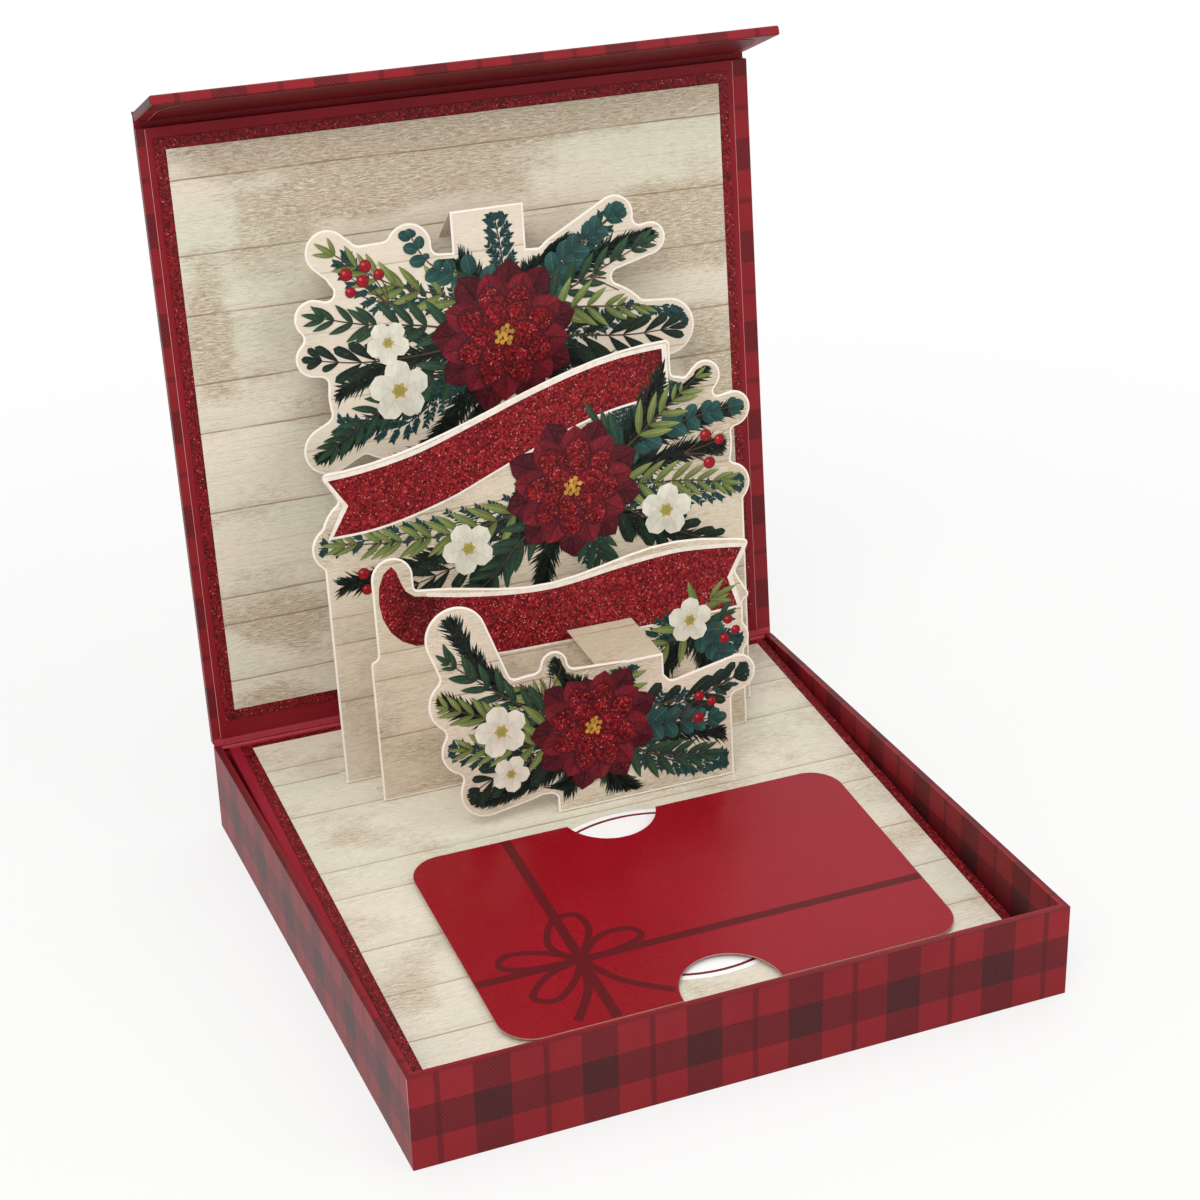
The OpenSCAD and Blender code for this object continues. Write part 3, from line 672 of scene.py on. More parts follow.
def crease():
    """The fold between the lid and the flap, a thin round roll of paper."""
    n = 12
    points = circle(BOARD, CREASE, CREASE_RADIUS, n)
    lined = [int(math.cos(math.pi * (2 * i + 1) / n) < 0.3) for i in range(n)]
    obj = strip("flap_fold_paper", HALF, points + points[:1], LID, "lid", [PLAID, LINING], lined,
                CREASE - CREASE_RADIUS)
    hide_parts("flap_crease")


crease()

# Papers that close the two hinges. The hinge red on them is lining paper made paler: painted light.
strip("hinge_paper", 63.4,
      [(62.60, 18.14), (63.10, 18.20), (63.36, 18.42), (63.41, 19.28), (63.46, 19.28), (63.46, 18.3)],
      Matrix(), "tray", [HINGE_RED_PAINTED_LIGHT, PLAID], [0, 0, 0, 1, 1])
strip("back_wall_paper", 61.9, [(63.34, 17.8), (63.34, 17.2), (62.10, 17.2), (62.10, 1.7)], Matrix(), "tray",
      [LINING])
strip("lid_foot_paper", 63.3, [(0.05, 0.16), (-0.02, 0.2), (-0.03, 1.16)], LID, "lid", [HINGE_RED_PAINTED_LIGHT])
strip("flap_gutter_paper", 61.4, [(-1.6, 0.44), (-1.78, 0.5), (-1.78, 1.3)], FLAP, "flap", [LINING])


# The pale cut edges of the lining papers

def cut_edge(name, points, y, at, body, width=0.14):
    """A thin pale line along an open run of points in the X and Z directions."""
    verts, faces = [], []
    n = len(points)
    for i, (x, z) in enumerate(points):
        a, b = points[max(i - 1, 0)], points[min(i + 1, n - 1)]
        d = Vector((b[0] - a[0], b[1] - a[1])).normalized() * (width / 2)
        verts += [(x - d.y, y, z + d.x), (x, y - 0.02, z), (x + d.y, y, z - d.x)]
    for i in range(n - 1):
        a = 3 * i
        faces += [(a, a + 1, a + 4, a + 3), (a + 1, a + 2, a + 5, a + 4)]
    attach(make(name, verts, faces, [PALE_EDGE], at), body)


def lining_edges():
    for side, x in (("left", -61.8), ("right", 60.2)):
        cut_edge("lid_cut_edge_" + side, [(x, 1.3), (x, 60), (x, 126.2)], -0.11, LID, "lid")
    half, foot, bend, top, radius = 61, 0.9, 6, 18.25, 8
    quarter = [math.radians(90 * i / 12) for i in range(13)]
    corner = [(half - radius * (1 - math.cos(a)), top - radius * (1 - math.sin(a))) for a in quarter]
    right = [(half, foot), (half, bend)] + corner
    left = [(-x, z) for x, z in right]
    cut_edge("flap_cut_edge", left + right[::-1], -1.86, FLAP, "flap")


lining_edges()


# Pop-up layers: the solids' own outlines, with a pressed white rim

def outline_of(node, at):
    """The outline of a layer's front face, anticlockwise, in the layer's own millimetres."""
    data = NODES[node].data
    back = at.inverted()
    points = [back @ (v.co / MM) for v in data.vertices]
    front = min(p.y for p in points) + 0.02
    first = {}
    weld = [first.setdefault(tuple(v.co), v.index) for v in data.vertices]
    edges = set()
    for polygon in data.polygons:
        ring = [weld[i] for i in polygon.vertices]
        if all(points[i].y < front for i in ring):
            edges |= set(zip(ring, ring[1:] + ring[:1]))
    follow = {a: b for a, b in edges if (b, a) not in edges}
    loops = []
    while follow:
        a = min(follow)
        loop = []
        while a in follow:
            loop.append((points[a].x, points[a].z))
            a = follow.pop(a)
        loops.append(loop)

    def area(loop):
        return 0.5 * sum(a[0] * b[1] - b[0] * a[1] for a, b in zip(loop, loop[1:] + loop[:1]))

    best = max(loops, key=lambda loop: abs(area(loop)))
    if area(best) < 0:
        best.reverse()
    clean = [best[0]]
    for q in best[1:]:
        if math.dist(q, clean[-1]) > 0.06:
            clean.append(q)
    return clean


def inset(loop, d):
    """The loop moved inwards by d, less at sharp corners."""
    out = []
    n = len(loop)
    for i in range(n):
        a, b, c = loop[i - 1], loop[i], loop[(i + 1) % n]
        u = Vector((b[0] - a[0], b[1] - a[1])).normalized()
        w = Vector((c[0] - b[0], c[1] - b[1])).normalized()
        m = Vector((-u.y, u.x)) + Vector((-w.y, w.x))
        k = min(d * 2 / max(m.length_squared, 0.6), d * 1.6)
        out.append((b[0] + m.x * k, b[1] + m.y * k))
    return out


def inside(loop, x, z):
    hit = False
    for (xi, zi), (xj, zj) in zip(loop, loop[-1:] + loop[:-1]):
        if (zi > z) != (zj > z) and x < (xj - xi) * (z - zi) / (zj - zi) + xi:
            hit = not hit
    return hit


def layer_piece(node, loop, rim=0.38, drop=0.07):
    """A layer's card. Its rim slopes back by drop from the printed face."""
    n = len(loop)
    verts = [(x, -HALF_CARD, z) for x, z in inset(loop, rim)]
    verts += [(x, drop - HALF_CARD, z) for x, z in loop] + [(x, HALF_CARD, z) for x, z in loop]
    faces = [tuple(range(n))]
    for i in range(n):
        j = (i + 1) % n
        faces += [(i, n + i, n + j, j), (n + i, 2 * n + i, 2 * n + j, n + j)]
    faces.append(tuple(range(3 * n - 1, 2 * n - 1, -1)))
    mats = [0] + [1] * (2 * n + 1)
    obj = make(node + "_card", verts, faces, [LAYER_WOOD[node], RIM], LAYERS[node], mats)
    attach(obj, node)
    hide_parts(node)


OUTLINES = {node: outline_of(node, at) for node, at in LAYERS.items()}
for layer, edge in OUTLINES.items():
    layer_piece(layer, edge)


# Printed drawings: thin flat shapes a few hundredths of a millimetre proud of the card

LIFT = 0.006
STEP = 0.0005


def spline(points, per=6):
    """A smooth line through points, with per steps between two of them."""
    if len(points) < 3:
        (x0, z0), (x1, z1) = points
        return [(x0 + (x1 - x0) * i / per, z0 + (z1 - z0) * i / per) for i in range(per + 1)]
    out = []
    ext = [points[0]] + list(points) + [points[-1]]
    for i in range(1, len(ext) - 2):
        p0, p1, p2, p3 = ext[i - 1:i + 3]
        for k in range(per):
            s = k / per
            out.append(tuple(
                0.5 * (2 * p1[j] + (p2[j] - p0[j]) * s + (2 * p0[j] - 5 * p1[j] + 4 * p2[j] - p3[j]) * s * s
                       + (3 * p1[j] - p0[j] - 3 * p2[j] + p3[j]) * s ** 3) for j in (0, 1)))
    out.append(points[-1])
    return out


def heading(a, b):
    return math.degrees(math.atan2(b[1] - a[1], b[0] - a[0]))


def tinted(color, k):
    return tuple(min(c * k, 1) for c in color[:3]) + (1.0,)


class Art:
    """A drawing on a face at y = face of the frame at. Each shape lies one level over the last."""

    def __init__(self, name, at, face, body, safe=None, seed=1):
        self.name, self.at, self.face, self.body, self.safe = name, at, face, body, safe
        self.verts, self.faces, self.mats, self.uvs, self.inks = [], [], [], [], []
        self.level = 0
        self.rng = random.Random(seed)

    def free(self, points):
        """Whether the points are inside the outline that the drawing must keep to."""
        return self.safe is None or all(inside(self.safe, x, z) for x, z in points)

    def vary(self, color, low, high):
        return tinted(color, self.rng.uniform(low, high))

    def polygon(self, points, uvs, inks, kind):
        base = len(self.verts)
        y = self.face - LIFT - self.level * STEP
        self.verts += [(x, y, z) for x, z in points]
        self.faces.append(tuple(range(base, base + len(points))))
        self.mats.append(INK_KINDS.index(kind))
        self.uvs += uvs
        self.inks += inks

    def plain(self, points, ink, kind):
        """A shape of one ink, away from any rib."""
        self.polygon(points, [(0.25, 0.5)] * len(points), [ink] * len(points), kind)

    def strip(self, left, mid, right, kind, ink_left, ink_right):
        """A shape along a middle line. The inks are functions of the place along it."""
        n = len(mid) - 1
        for i in range(n):
            j, a, b = i + 1, i / n, (i + 1) / n
            self.polygon([left[i], mid[i], mid[j], left[j]], [(0, a), (0.5, a), (0.5, b), (0, b)],
                         [ink_left(a), ink_left(a), ink_left(b), ink_left(b)], kind)
            self.polygon([mid[i], right[i], right[j], mid[j]], [(0.5, a), (1, a), (1, b), (0.5, b)],
                         [ink_right(a), ink_right(a), ink_right(b), ink_right(b)], kind)
        self.level += 1

    def blade(self, x, z, angle, length, width, profile, base, tip, kind="leaf", bend=0.0, n=9, dim=0.8):
        """A leaf or petal from its base at x, z, made smaller until it is inside the outline."""
        for _ in range(7):
            mid, left, right = [(x, z)], [], []
            px, pz = x, z
            for i in range(n + 1):
                s = i / n
                a = math.radians(angle + bend * s)
                if i:
                    px += math.cos(a) * length / n
                    pz += math.sin(a) * length / n
                    mid.append((px, pz))
                w = width / 2 * profile(s)
                left.append((px - math.sin(a) * w, pz + math.cos(a) * w))
                right.append((px + math.sin(a) * w, pz - math.cos(a) * w))
            if self.free(left[1:] + right[1:] + mid[1:]):
                break
            length, width = length * 0.86, width * 0.92
        else:
            return

        def shade(k):
            return lambda s: tuple((base[i] * (1 - s) + tip[i] * s) * k for i in range(3)) + (1.0,)
        self.strip(left, mid, right, kind, shade(1.0), shade(dim))

    def needle(self, x, z, angle, length, width, base, tip):
        """A short pointed stroke of one face."""
        c, s = math.cos(math.radians(angle)), math.sin(math.radians(angle))
        w = width / 2
        for size in (length, length * 0.7, length * 0.45):
            h, v = c * size, s * size
            points = [(x + s * w * 0.6, z - c * w * 0.6), (x + h * 0.5 + s * w, z + v * 0.5 - c * w),
                      (x + h, z + v), (x + h * 0.5 - s * w, z + v * 0.5 + c * w),
                      (x - s * w * 0.6, z + c * w * 0.6)]
            if self.free(points[1:4]):
                self.polygon(points, [(0.3, 0.3)] * 5, [base, base, tip, base, base], "plain")
                self.level += 1
                return

    def disc(self, x, z, r, ink, kind="plain", n=14, squash=1.0):
        points = circle(x, z, r, n, squash)
        if not self.free(points):
            return False
        self.plain(points, ink, kind)
        self.level += 1
        return True

    def stroke(self, points, width, ink, kind="plain", tip=1.0, smooth=6):
        """A line through points, tapering to tip times its width. It ends at the outline."""
        line = spline(points, smooth)
        n = len(line) - 1
        left, right = [], []
        for i, (px, pz) in enumerate(line):
            a, b = line[max(i - 1, 0)], line[min(i + 1, n)]
            d = Vector((b[0] - a[0], b[1] - a[1])).normalized()
            w = width / 2 * (1 + (tip - 1) * i / n)
            left.append((px - d.y * w, pz + d.x * w))
            right.append((px + d.y * w, pz - d.x * w))
        if not self.free(line):
            keep = 0
            while inside(self.safe, *line[keep]):
                keep += 1
            if keep < 3:
                return line
            line, left, right = line[:keep], left[:keep], right[:keep]
        self.strip(left, line, right, kind, lambda s: ink, lambda s: ink)
        return line

    def done(self):
        obj = make(self.name, self.verts, self.faces, list(INKS.values()), self.at, self.mats, self.uvs,
                   self.inks)
        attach(obj, self.body)


# Outlines of leaves and petals: the width along the blade, from its base at 0 to its tip at 1

def lance(s):
    return 2.1 * max(s, 0) ** 0.75 * max(1 - s, 0) ** 0.95


def oval(s):
    return 2.0 * max(s * (1 - s), 0) ** 0.55 * (1.04 - 0.1 * s)


def paddle(s):
    return 1.75 * max(s, 0) ** 1.05 * max(1 - s, 0) ** 0.42


def petal_shape(s):
    return 2.0 * max(s, 0) ** 0.62 * max(1 - s, 0) ** 0.60


def round_petal(s):
    return 1.62 * (0.12 + max(s, 0)) ** 0.55 * max(1 - s, 0) ** 0.38


BURGUNDY, WINE, DEEP = srgb(88, 18, 32), srgb(128, 28, 42), srgb(58, 14, 24)
BLACK_GREEN, FOREST, TEAL = srgb(18, 26, 22), srgb(30, 50, 40), srgb(46, 88, 82)
DARK_TEAL, OLIVE, LIGHT_OLIVE = srgb(28, 58, 58), srgb(92, 106, 54), srgb(132, 144, 84)
BROWN, GOLD, IVORY = srgb(78, 58, 44), srgb(196, 148, 60), srgb(236, 231, 214)
BERRY, BERRY_LIGHT = srgb(150, 22, 34), srgb(206, 84, 84)


def bloom(art, x, z, r, turn):
    """A full round flower: two rings of dark petals, two of glitter with dark edges, and a gold heart."""
    rings = (
        (9, 1.00, 0.50, DEEP, BURGUNDY, "petal", 0.0),
        (9, 0.86, 0.44, BURGUNDY, WINE, "petal", 0.5),
        (8, 0.68, 0.35, (0.72, 0.70, 0.72), (1.0, 1.0, 1.0), "glitter", 0.25),
        (6, 0.45, 0.29, (0.80, 0.78, 0.80), (1.15, 1.1, 1.1), "glitter", 0.8),
    )
    for count, reach, wide, base, tip, kind, start in rings:
        for i in range(count):
            a = turn + 360 * (i + start) / count + art.rng.uniform(-3, 3)
            size, bend = r * reach * art.rng.uniform(0.95, 1.0), art.rng.uniform(-7, 7)
            width = r * wide * 1.2
            if kind == "glitter":
                art.blade(x, z, a, size * 1.06, width * 1.18, petal_shape, DEEP, BURGUNDY, "plain", bend,
                          dim=0.85)
            art.blade(x, z, a, size, width, petal_shape, base, tip, kind, bend, dim=0.74)
    for i in range(13):
        a, d = i * 2.4, r * 0.036 * math.sqrt(i)
        ink = art.vary(GOLD, 0.7, 1.2)
        art.disc(x + d * math.cos(a), z + d * math.sin(a), r * 0.033, ink, n=8)


def small_flower(art, x, z, r, turn):
    """A small ivory flower with round petals."""
    for i in range(5):
        a = turn + 72 * i
        c, s = math.cos(math.radians(a)), math.sin(math.radians(a))
        art.blade(x, z, a, r, r * 0.86, round_petal, tinted(IVORY, 0.80), IVORY, "plain", 0, 7, 0.93)
        line = [(x + k * r * c, z + k * r * s) for k in (0.2, 0.62)]
        art.stroke(line, 0.09, srgb(176, 168, 140), tip=0.4, smooth=3)
    art.disc(x, z, r * 0.20, srgb(150, 150, 84), n=10)
    for i in range(6):
        a = i * 1.05
        art.disc(x + r * 0.2 * math.cos(a), z + r * 0.2 * math.sin(a), r * 0.065, tinted(GOLD, 1.1), n=7)


def sprig(art, points, leaf, width, profile, base, tip, every, spread):
    """A stem with leaves in pairs, a pair for each length of every, and one leaf at its end."""
    line, cut = spline(points, 8), leaf * 0.5
    while len(line) > 6 and cut > 0:
        cut -= math.dist(line[-1], line[-2])
        line.pop()
    stem = art.stroke(line, 0.45, BROWN, tip=0.5, smooth=1)
    total = sum(math.dist(a, b) for a, b in zip(stem, stem[1:]))
    run, due = 0.0, total * 0.14
    for a, b in zip(stem, stem[1:]):
        run += math.dist(a, b)
        if run >= due:
            s = run / max(total, 0.1)
            size = 1 - 0.45 * s
            for side in (1, -1):
                angle = heading(a, b) + side * (spread - 14 * s) + art.rng.uniform(-7, 7)
                art.blade(*b, angle, leaf * size, width * size, profile, art.vary(base, 0.85, 1.15),
                          art.vary(tip, 0.85, 1.15), "leaf", -8 * side)
            due += every * (1 - 0.3 * s)
    if len(stem) > 2:
        art.blade(*stem[-1], heading(*stem[-2:]), leaf * 0.8, width * 0.7, profile, base, tip)


def pine(art, points):
    """A fir twig: a stem with many fine needles."""
    light = srgb(70, 98, 76)
    stem = art.stroke(points, 0.8, tinted(BROWN, 0.45), tip=0.5, smooth=16)
    n, ground, count = len(stem), art.level, 0
    for i in range(1, n):
        a, b = stem[i - 1], stem[i]
        for side in (1, -1) * 4:
            angle = heading(a, b) + side * art.rng.uniform(12, 46)
            size = 6.0 * (1 - 0.35 * i / n) * art.rng.uniform(0.7, 1.1)
            pick, f = art.rng.random(), art.rng.random()
            ink = FOREST if pick < 0.45 else (BLACK_GREEN if pick < 0.86 else light)
            art.level = ground + count % 8
            count += 1
            art.needle(a[0] + (b[0] - a[0]) * f, a[1] + (b[1] - a[1]) * f, angle, size, 0.5, BLACK_GREEN, ink)
    art.level = ground + 8


def cedar(art, points):
    """A soft feathery twig of short scaly shoots."""
    stem = art.stroke(points, 0.42, tinted(DARK_TEAL, 0.8), tip=0.5, smooth=5)
    n, ground, count = len(stem), art.level, 0
    for i in range(1, n):
        a, b = stem[i - 1], stem[i]
        for side in (1, -1):
            angle = heading(a, b) + side * art.rng.uniform(30, 44)
            size = 5.2 * (1 - 0.5 * i / n) * art.rng.uniform(0.8, 1.1)
            c, s = math.cos(math.radians(angle)), math.sin(math.radians(angle))
            if not art.free([(b[0] + c * size, b[1] + s * size)]):
                size *= 0.6
            shoot = art.vary(DARK_TEAL, 0.8, 1.2)
            art.level = ground + count % 6
            count += 1
            art.needle(*b, angle, size, 0.34, shoot, shoot)
            for k in range(4):
                d = size * (k + 1.0) / 4.6
                for sub in (1, -1):
                    art.level = ground + 6 + count % 3
                    count += 1
                    art.needle(b[0] + c * d, b[1] + s * d, angle + sub * art.rng.uniform(26, 42), 1.35, 0.66,
                               art.vary(DARK_TEAL, 0.8, 1.3), art.vary(TEAL, 0.8, 1.3))
    art.level = ground + 10


def berries(art, x, z, offsets, r):
    for dx, dz in offsets:
        stem = [(x, z), (x + dx * 0.55 + dz * 0.08, z + dz * 0.5), (x + dx, z + dz)]
        art.stroke(stem, 0.26, BROWN, tip=0.7, smooth=4)
    for dx, dz in offsets:
        size = r * art.rng.uniform(0.88, 1.08)
        bx, bz = x + dx, z + dz
        if art.disc(bx, bz, size, tinted(BERRY, 0.62)):
            art.disc(bx - 0.08 * size, bz + 0.08 * size, size * 0.86, BERRY)
            art.disc(bx - 0.32 * size, bz + 0.34 * size, size * 0.26, BERRY_LIGHT, n=8)
            art.disc(bx + 0.3 * size, bz - 0.35 * size, size * 0.14, tinted(BERRY, 0.35), n=6)


def new_art(node, seed):
    return Art(node + "_art", LAYERS[node], -HALF_CARD, node, inset(OUTLINES[node], 1.0), seed)


def leafy(dark, light, leaf, width, every, profile=lance, spread=48):
    return lambda art, points: sprig(art, points, leaf, width, profile, dark, light, every, spread)


PLANTS = {
    "olive": leafy(OLIVE, LIGHT_OLIVE, 8.4, 2.9, 3.7),
    "laurel": leafy(FOREST, srgb(52, 82, 60), 8.4, 3.3, 3.7),
    "dark": leafy(BLACK_GREEN, FOREST, 10.0, 4.2, 5.0, paddle, 46),
    "coin": leafy(DARK_TEAL, TEAL, 5.2, 4.3, 3.6, oval, 58),
    "fir": pine,
    "cedar": cedar,
}


def spray(art, x, z, start, plants):
    """Twigs that leave the ring of radius start round x, z, each through its own points."""
    for kind, *points in plants:
        a = math.atan2(points[0][1] - z, points[0][0] - x)
        PLANTS[kind](art, [(x + start * math.cos(a), z + start * math.sin(a))] + points)


def line_through(*points):
    """The height of a smooth line through points, as a function of x."""
    line = spline(points)

    def height(x):
        for a, b in zip(line, line[1:]):
            if x <= b[0]:
                break
        return a[1] + (b[1] - a[1]) * (x - a[0]) / (b[0] - a[0])
    return height


def ribbon_of(art, left, right, top, low, kind, ink):
    """A ribbon between two lines. An end is the x of its upper corner, its notch and its lower corner."""
    upper, middle, lower = [], [], []
    for i in range(31):
        a, b, c = (p + (q - p) * i / 30 for p, q in zip(left, right))
        upper.append((a, top(a)))
        middle.append((b, (top(b) + low(b)) / 2))
        lower.append((c, low(c)))
    art.strip(upper, middle, lower, kind, ink, ink)


def shaded(at, wide, deep):
    """Ink along a ribbon, darker near its fold."""
    def ink(s):
        k = 1 - deep * math.exp(-((s - at) / wide) ** 2)
        return (k, k, k, 1.0)
    return ink


def rimmed_ribbon(art, left, right, top, low, fold, left_rim=1.1):
    """A glitter ribbon on a pale rim."""
    pale = srgb(240, 231, 218)
    ribbon_of(art, [x - left_rim for x in left], [x + 1.1 for x in right], lambda x: top(x) + 0.9,
              lambda x: low(x) - 0.5, "plain", lambda s: pale)
    ribbon_of(art, left, right, top, low, "glitter", shaded(*fold))


def back_art():
    art = new_art("back_spray", 11)
    x, z = 3.5, 80.5
    spray(art, x, z, 8, [
        ("fir", (-14, 71), (-26, 66), (-38, 60.5)), ("fir", (-8, 66), (-14, 60), (-23, 57)),
        ("cedar", (-10, 71), (-20, 65), (-31, 67)), ("fir", (-20, 78), (-34, 73)),
        ("fir", (-4, 62), (-8, 52)), ("fir", (-3, 94), (-7, 98), (-16, 105)),
        ("cedar", (-12, 90), (-22, 92), (-28, 99)),
        ("fir", (12, 95), (16, 97)), ("fir", (16, 90), (24, 94), (36, 97.5)),
        ("cedar", (16, 92), (23, 98), (32, 104)), ("fir", (22, 72), (34, 70), (41, 72)),
        ("cedar", (22, 80), (34, 82), (42, 80)), ("fir", (20, 66), (30, 63)), ("cedar", (4, 96), (3, 105)),
        ("dark", (-16, 79), (-28, 79.5), (-39.5, 82)), ("laurel", (-12, 74), (-24, 69), (-37, 61)),
        ("dark", (20, 78), (32, 76.5), (44.5, 77)), ("olive", (-8, 90), (-20, 94.5), (-34.5, 104.5)),
        ("coin", (-2, 93), (-11, 97), (-15.5, 105.5)), ("laurel", (-14, 85), (-26, 87), (-39, 91)),
        ("coin", (14, 91), (21, 97), (32, 104.5)), ("laurel", (18, 88), (27, 92), (39, 97)),
        ("olive", (18, 84), (28, 83), (40, 82)),
    ])
    berries(art, -20, 90, [(-5, 5.5), (-8.2, 7.2), (-4.2, 8.4), (-7.6, 3.6), (-1.6, 6.4)], 1.25)
    berries(art, 22, 90, [(5, -1.2), (8.2, -0.2), (10.0, -2.8), (6.6, -3.8)], 1.2)
    bloom(art, x, z, 16.2, 8)
    small_flower(art, -19.5, 72.5, 6.4, 20)
    small_flower(art, -21.0, 82.5, 4.6, 50)
    art.done()


def upper_art():
    art = new_art("upper_banner", 23)
    x, z = 10.5, 54.0
    spray(art, x, z, 7, [
        ("fir", (-10, 47), (-26, 43), (-38, 42)), ("cedar", (-10, 51), (-26, 50.5), (-43, 50.5)),
        ("fir", (-4, 43), (-12, 36), (-20, 34)), ("fir", (4, 40), (2, 31)),
        ("cedar", (14, 40), (20, 34), (28, 33)), ("fir", (24, 44), (36, 38)),
        ("fir", (20, 62), (30, 68), (41, 74.5)),
        ("cedar", (26, 50), (38, 48), (48.5, 48.5)), ("fir", (26, 56), (38, 57.5), (46, 57)),
        ("fir", (24, 60), (36, 63), (48, 65)), ("cedar", (20, 64), (26, 70), (34, 73)),
        ("dark", (-8, 44), (-18, 41), (-31, 38)), ("dark", (24, 46), (34, 40), (44, 36)),
        ("olive", (-10, 49), (-26, 49), (-42.5, 51)), ("laurel", (-2, 44), (-8, 38), (-16, 33)),
        ("olive", (26, 52), (36, 51), (49, 48)), ("coin", (24, 61), (36, 64), (49.5, 65.5)),
        ("laurel", (16, 38), (22, 33)),
    ])
    berries(art, 35, 57, [(5, 3.0), (8, 1.6), (8.6, -2.0), (5.6, -3.0)], 1.25)
    berries(art, -26, 45, [(-5, -3), (-8.4, -1.2), (-8, -4.6)], 1.15)
    small_flower(art, 30.5, 45.5, 5.8, 10)
    small_flower(art, -12.5, 45.0, 5.6, 40)
    top = line_through((-42, 63.7), (-33, 64.3), (-22, 66.2), (-10, 70.0), (2, 74.1), (14, 77.5), (24, 79.2),
                       (34, 79.7))
    low = line_through((-42, 52.4), (-33.5, 52.5), (-26.7, 53.4), (-20, 55.0), (-14, 56.8), (-8, 59.2),
                       (2, 63.2), (12, 66.8), (22, 69.2), (34, 70.2))
    rimmed_ribbon(art, (-39.8, -36.2, -39.8), (31.2, 31.2, 31.2), top, low, (1.0, 0.08, 0.4))
    spray(art, 22, 60, 0, [
        ("fir", (26, 66), (31, 74)), ("olive", (30, 66), (42, 75.5)), ("laurel", (18, 64), (15, 70))])
    bloom(art, x, z, 15.2, 25)
    art.done()


def lower_art():
    art = new_art("lower_banner", 37)
    top = line_through((-24.6, 41.4), (-16, 39.7), (-5, 38.3), (4, 38.2), (16, 39.7), (28, 40.7), (38, 40.0),
                       (45, 39.0))
    low = line_through((-24.6, 31.3), (-20, 28.9), (-15, 27.5), (-9.8, 26.8), (4.4, 26.6), (15.5, 26.3),
                       (23.5, 26.3), (45, 26.8))
    rimmed_ribbon(art, (-24.6, -24.6, -24.6), (43.3, 39.8, 41.8), top, low, (0.0, 0.05, 0.55), 0.0)
    # The turned-over end at the left, with the darkness of each corner
    curl = (
        (-24.5, 31.46, 0.6), (-24.5, 41.46, 0.5), (-27.0, 41.9, 0.45), (-28.7, 43.3, 0.5), (-29.6, 45.4, 0.7),
        (-30.3, 47.7, 0.9), (-31.2, 48.9, 1.0), (-32.9, 47.6, 1.05), (-34.0, 45.0, 1.05), (-34.3, 41.8, 1.05),
        (-33.8, 38.4, 1.0), (-32.4, 35.3, 0.95), (-30.2, 33.0, 0.85), (-27.5, 31.6, 0.7),
    )
    art.polygon([(cx, cz) for cx, cz, _ in curl], [(0, 0)] * len(curl), [(k, k, k, 1.0) for *_, k in curl],
                "glitter")
    art.level += 1
    spray(art, 32, 25, 1, [
        ("fir", (27, 19), (22, 12)), ("fir", (34, 17), (35, 10)), ("cedar", (38, 20), (43.5, 18)),
        ("cedar", (26, 24), (18, 20)), ("laurel", (36, 24), (43, 27)), ("coin", (37, 18), (40, 12)),
        ("olive", (27, 22), (17, 17)), ("olive", (35, 29), (41, 30.5)),
    ])
    berries(art, 36, 23, [(3.6, 1.0), (5.2, -1.6), (2.6, -3.0)], 1.15)
    small_flower(art, 31, 25.5, 5.0, 15)
    art.done()


def front_art():
    art = new_art("front_spray", 53)
    x, z = 2.5, 16.5
    spray(art, x, z, 6, [
        ("fir", (-10, 24), (-19, 32), (-26, 45)), ("fir", (-12, 20), (-22, 24), (-30, 29)),
        ("cedar", (-10, 14), (-20, 15), (-28.5, 18.5)), ("fir", (-8, 9), (-16, 6), (-25, 5.5)),
        ("fir", (-3, 6), (-8, 3.2)), ("fir", (6, 5), (9, 1.5)), ("cedar", (14, 8), (22, 4), (30, 3)),
        ("fir", (18, 12), (31.5, 9)), ("fir", (-2, 27), (-5, 33)), ("cedar", (16, 17), (26, 18), (37, 22)),
        ("cedar", (10, 27), (12, 29)), ("dark", (16, 18), (26, 18.5), (38.5, 22.5)),
        ("olive", (-8, 25), (-17, 33), (-24, 46.5)), ("laurel", (-11, 23), (-21, 31), (-30, 39)),
        ("olive", (-12, 19), (-22, 24), (-31, 28)), ("dark", (-12, 12), (-20, 9.5), (-27, 5.5)),
        ("olive", (-9, 15), (-20, 16.5), (-29.5, 18)), ("laurel", (14, 8), (22, 6), (31, 5)),
        ("coin", (17, 14), (24, 13), (31.5, 12.5)), ("olive", (10, 26), (14, 28.5)),
    ])
    berries(art, -7, 25, [(1.0, 5.0), (3.4, 5.6), (-1.2, 3.6)], 1.15)
    berries(art, 20, 15, [(5.4, 3.0), (8.0, 1.4), (5.0, -1.6)], 1.15)
    bloom(art, x, z, 14.0, 14)
    small_flower(art, -16.8, 19.4, 5.6, 30)
    small_flower(art, -15.5, 10.0, 4.0, 60)
    art.done()


back_art()
upper_art()
lower_art()
front_art()


# Prints on the platform: a white disc with a thin ring under the pocket, and a ribbon with a bow on it

def disc_print():
    art = Art("disc_print", PLATFORM @ FLAT, 0.0, "tray")
    x, y, n = 4.2, -76.8, 96
    art.plain(circle(x, y, 27.3, n), srgb(244, 243, 240), "clean")
    art.level += 1
    outer, inner = circle(x, y, 26.2, n), circle(x, y, 25.55, n)
    for i in range(n):
        j = (i + 1) % n
        art.plain([inner[i], outer[i], outer[j], inner[j]], srgb(112, 30, 42), "clean")
    art.done()


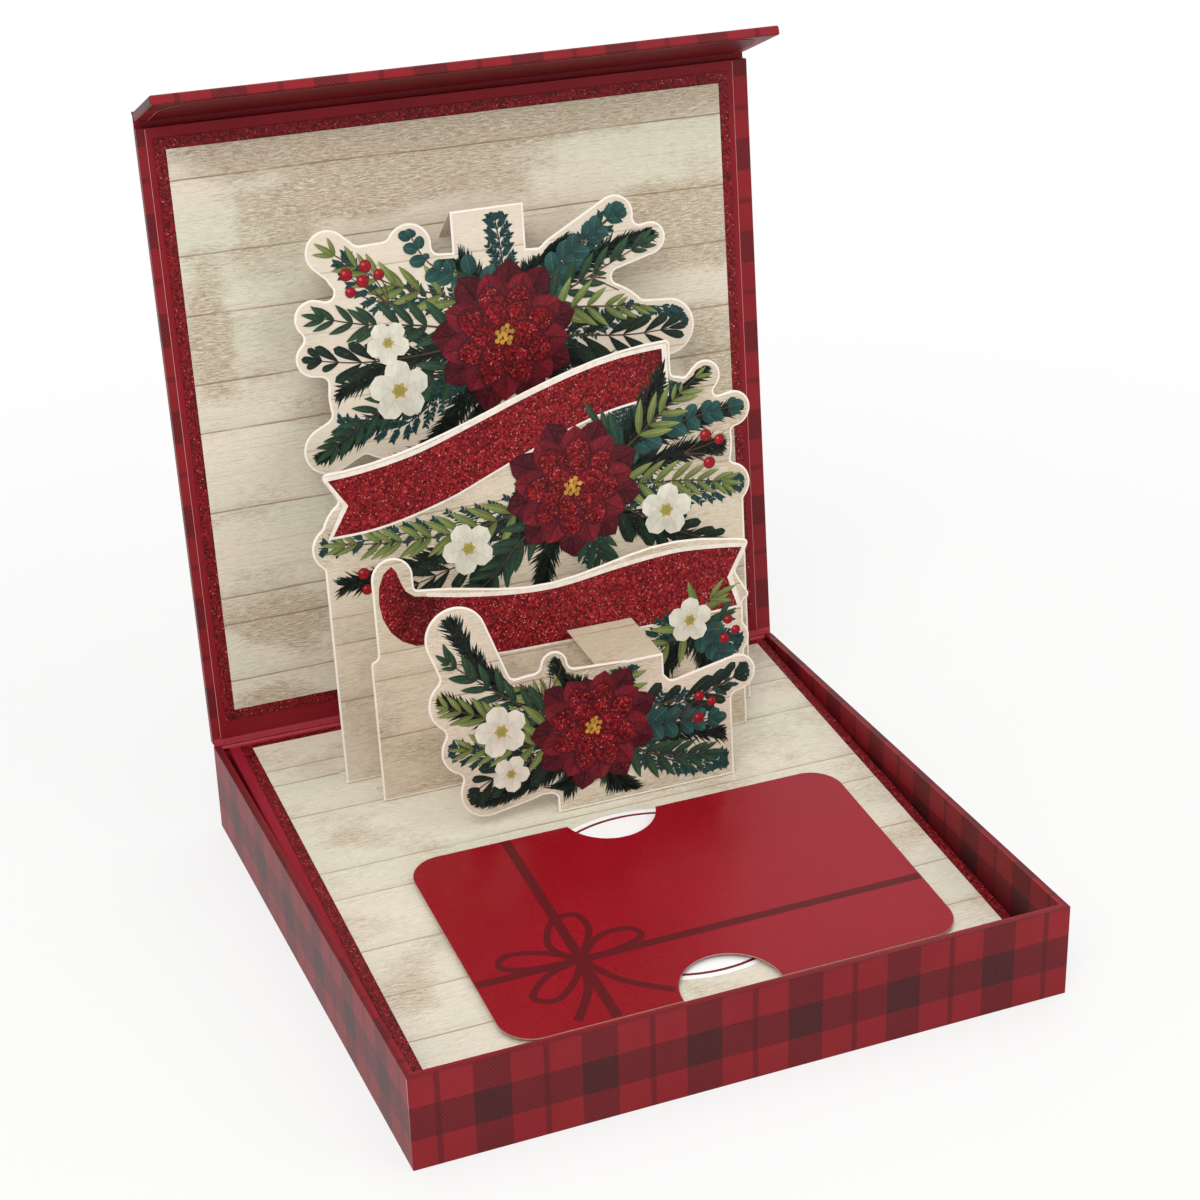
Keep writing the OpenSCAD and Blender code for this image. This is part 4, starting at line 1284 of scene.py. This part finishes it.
def ribbon_print():
    pocket_face = -1.12
    art = Art("ribbon_print", PLATFORM @ FLAT, pocket_face, "tray")
    ink = srgb(92, 20, 26)
    kx, ky = -19.8, -91.7

    def line(points, width, tip=1.0):
        """A stroke through points that are measured from the knot."""
        art.stroke([(kx + dx, ky + dy) for dx, dy in points], width, ink, "clean", tip, 9)

    art.stroke([(-40.2, ky), (50.4, ky)], 1.9, ink, "clean", smooth=2)
    art.stroke([(kx, -51.8), (kx, -109.2)], 2.0, ink, "clean", smooth=2)
    line([(0, 0), (-4, 5.5), (-1.0, 12.5), (4.0, 13.0), (4.5, 7.5), (0, 0)], 1.35)
    line([(0, 0), (-6, 4.5), (-12.5, 6.0), (-14.5, 3.0), (-9.5, 0.9), (0, 0)], 1.35)
    line([(0, 0), (-7.5, -2.2), (-12.0, -7.0), (-8.5, -9.2), (-3.5, -5.5), (0, 0)], 1.35)
    line([(0, 0), (5.5, 5.2), (11.5, 5.6), (13.0, 2.6), (8.0, 0.6), (0, 0)], 1.35)
    line([(0, 0), (-1.8, -8), (-7.0, -16.0)], 1.6, 1.05)
    line([(0, 0), (4.5, -8.0), (12.5, -14.4)], 1.6, 0.9)
    art.disc(kx, ky, 1.9, ink, "clean", 20, 0.85)
    art.done()


disc_print()
ribbon_print()


def seam():
    """The pale cut edge of the wrapping paper on the front left corner."""
    corner, slant = -63.389, 0.707
    rows = [(0.13, 18.55), (0.10, 14), (0.06, 8), (0.0, 3.5), (-0.05, 0.5)]
    verts, faces = [], []
    for shift, z in rows:
        for across, out in ((-0.13, 0.0), (0.0, 0.025), (0.11, 0.0)):
            aside = across - shift
            verts.append((corner + (aside - out) * slant, corner - (aside + out) * slant, z))
    for i in range(len(rows) - 1):
        a = 3 * i
        faces += [(a, a + 3, a + 4, a + 1), (a + 1, a + 4, a + 5, a + 2)]
    obj = make("corner_seam", verts, faces, [SEAM_EDGE])
    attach(obj, "tray")


seam()


# Floor, light and background

def place_floor():
    """A pale floor that fades into the white background away from the box."""
    size, drop = 1500, Matrix.Translation(Vector((0, 0, -0.02)))
    t = Paint("floor", 0.6, Specular_IOR_Level=0.2)
    p = t.place()
    t.finish(t.mix(t.noise(t.scaled(p, 0.004), 2), srgb(226, 225, 222), srgb(232, 231, 228)))
    corners = [(-size, -size, 0), (size, -size, 0), (size, size, 0), (-size, size, 0)]
    floor = make("floor", corners, [(0, 1, 2, 3)], [t.material], drop)
    white = t.times(t.seen(), t.step(t.vector("LENGTH", p), 120, 420, 0.72, 1.0))
    glow = t.node("Emission", Color=(1, 1, 1, 1), Strength=1.0)
    both = t.node("MixShader", None, white, t.shader.outputs[0], glow.outputs[0])
    t.put(t.tree.nodes["Material Output"].inputs["Surface"], both.outputs[0])


def place_sky():
    """White behind the box, and a softer white that lights it."""
    world = bpy.data.worlds.new("studio")
    world.use_nodes = True
    t = Nodes(world.node_tree)
    t.tree.nodes.clear()
    shown = t.node("Background", Color=(1, 1, 1, 1), Strength=1.0)
    lit = t.node("Background", Color=(1, 1, 1, 1), Strength=0.55)
    pick = t.node("MixShader", None, t.seen(), lit.outputs[0], shown.outputs[0])
    t.node("OutputWorld", Surface=pick.outputs[0])
    SCENE.world = world


def place_lamp(name, place, target, size, power):
    data = bpy.data.lights.new(name, "AREA")
    data.shape = "SQUARE"
    data.size = size
    data.energy = power
    obj = add(name, data)
    obj.location = place
    obj.rotation_euler = (Vector(target) - Vector(place)).to_track_quat("-Z", "Y").to_euler()


place_floor()
place_sky()
place_lamp("key", (-0.55, -0.75, 1.05), (0, 0, 0.05), 0.7, 9.0)
place_lamp("fill", (0.9, -0.8, 0.6), (0, 0, 0.06), 0.9, 4.0)
place_lamp("top", (0.1, 0.2, 1.3), (0, 0, 0.05), 0.9, 4.5)
SCENE.view_settings.view_transform = "Standard"
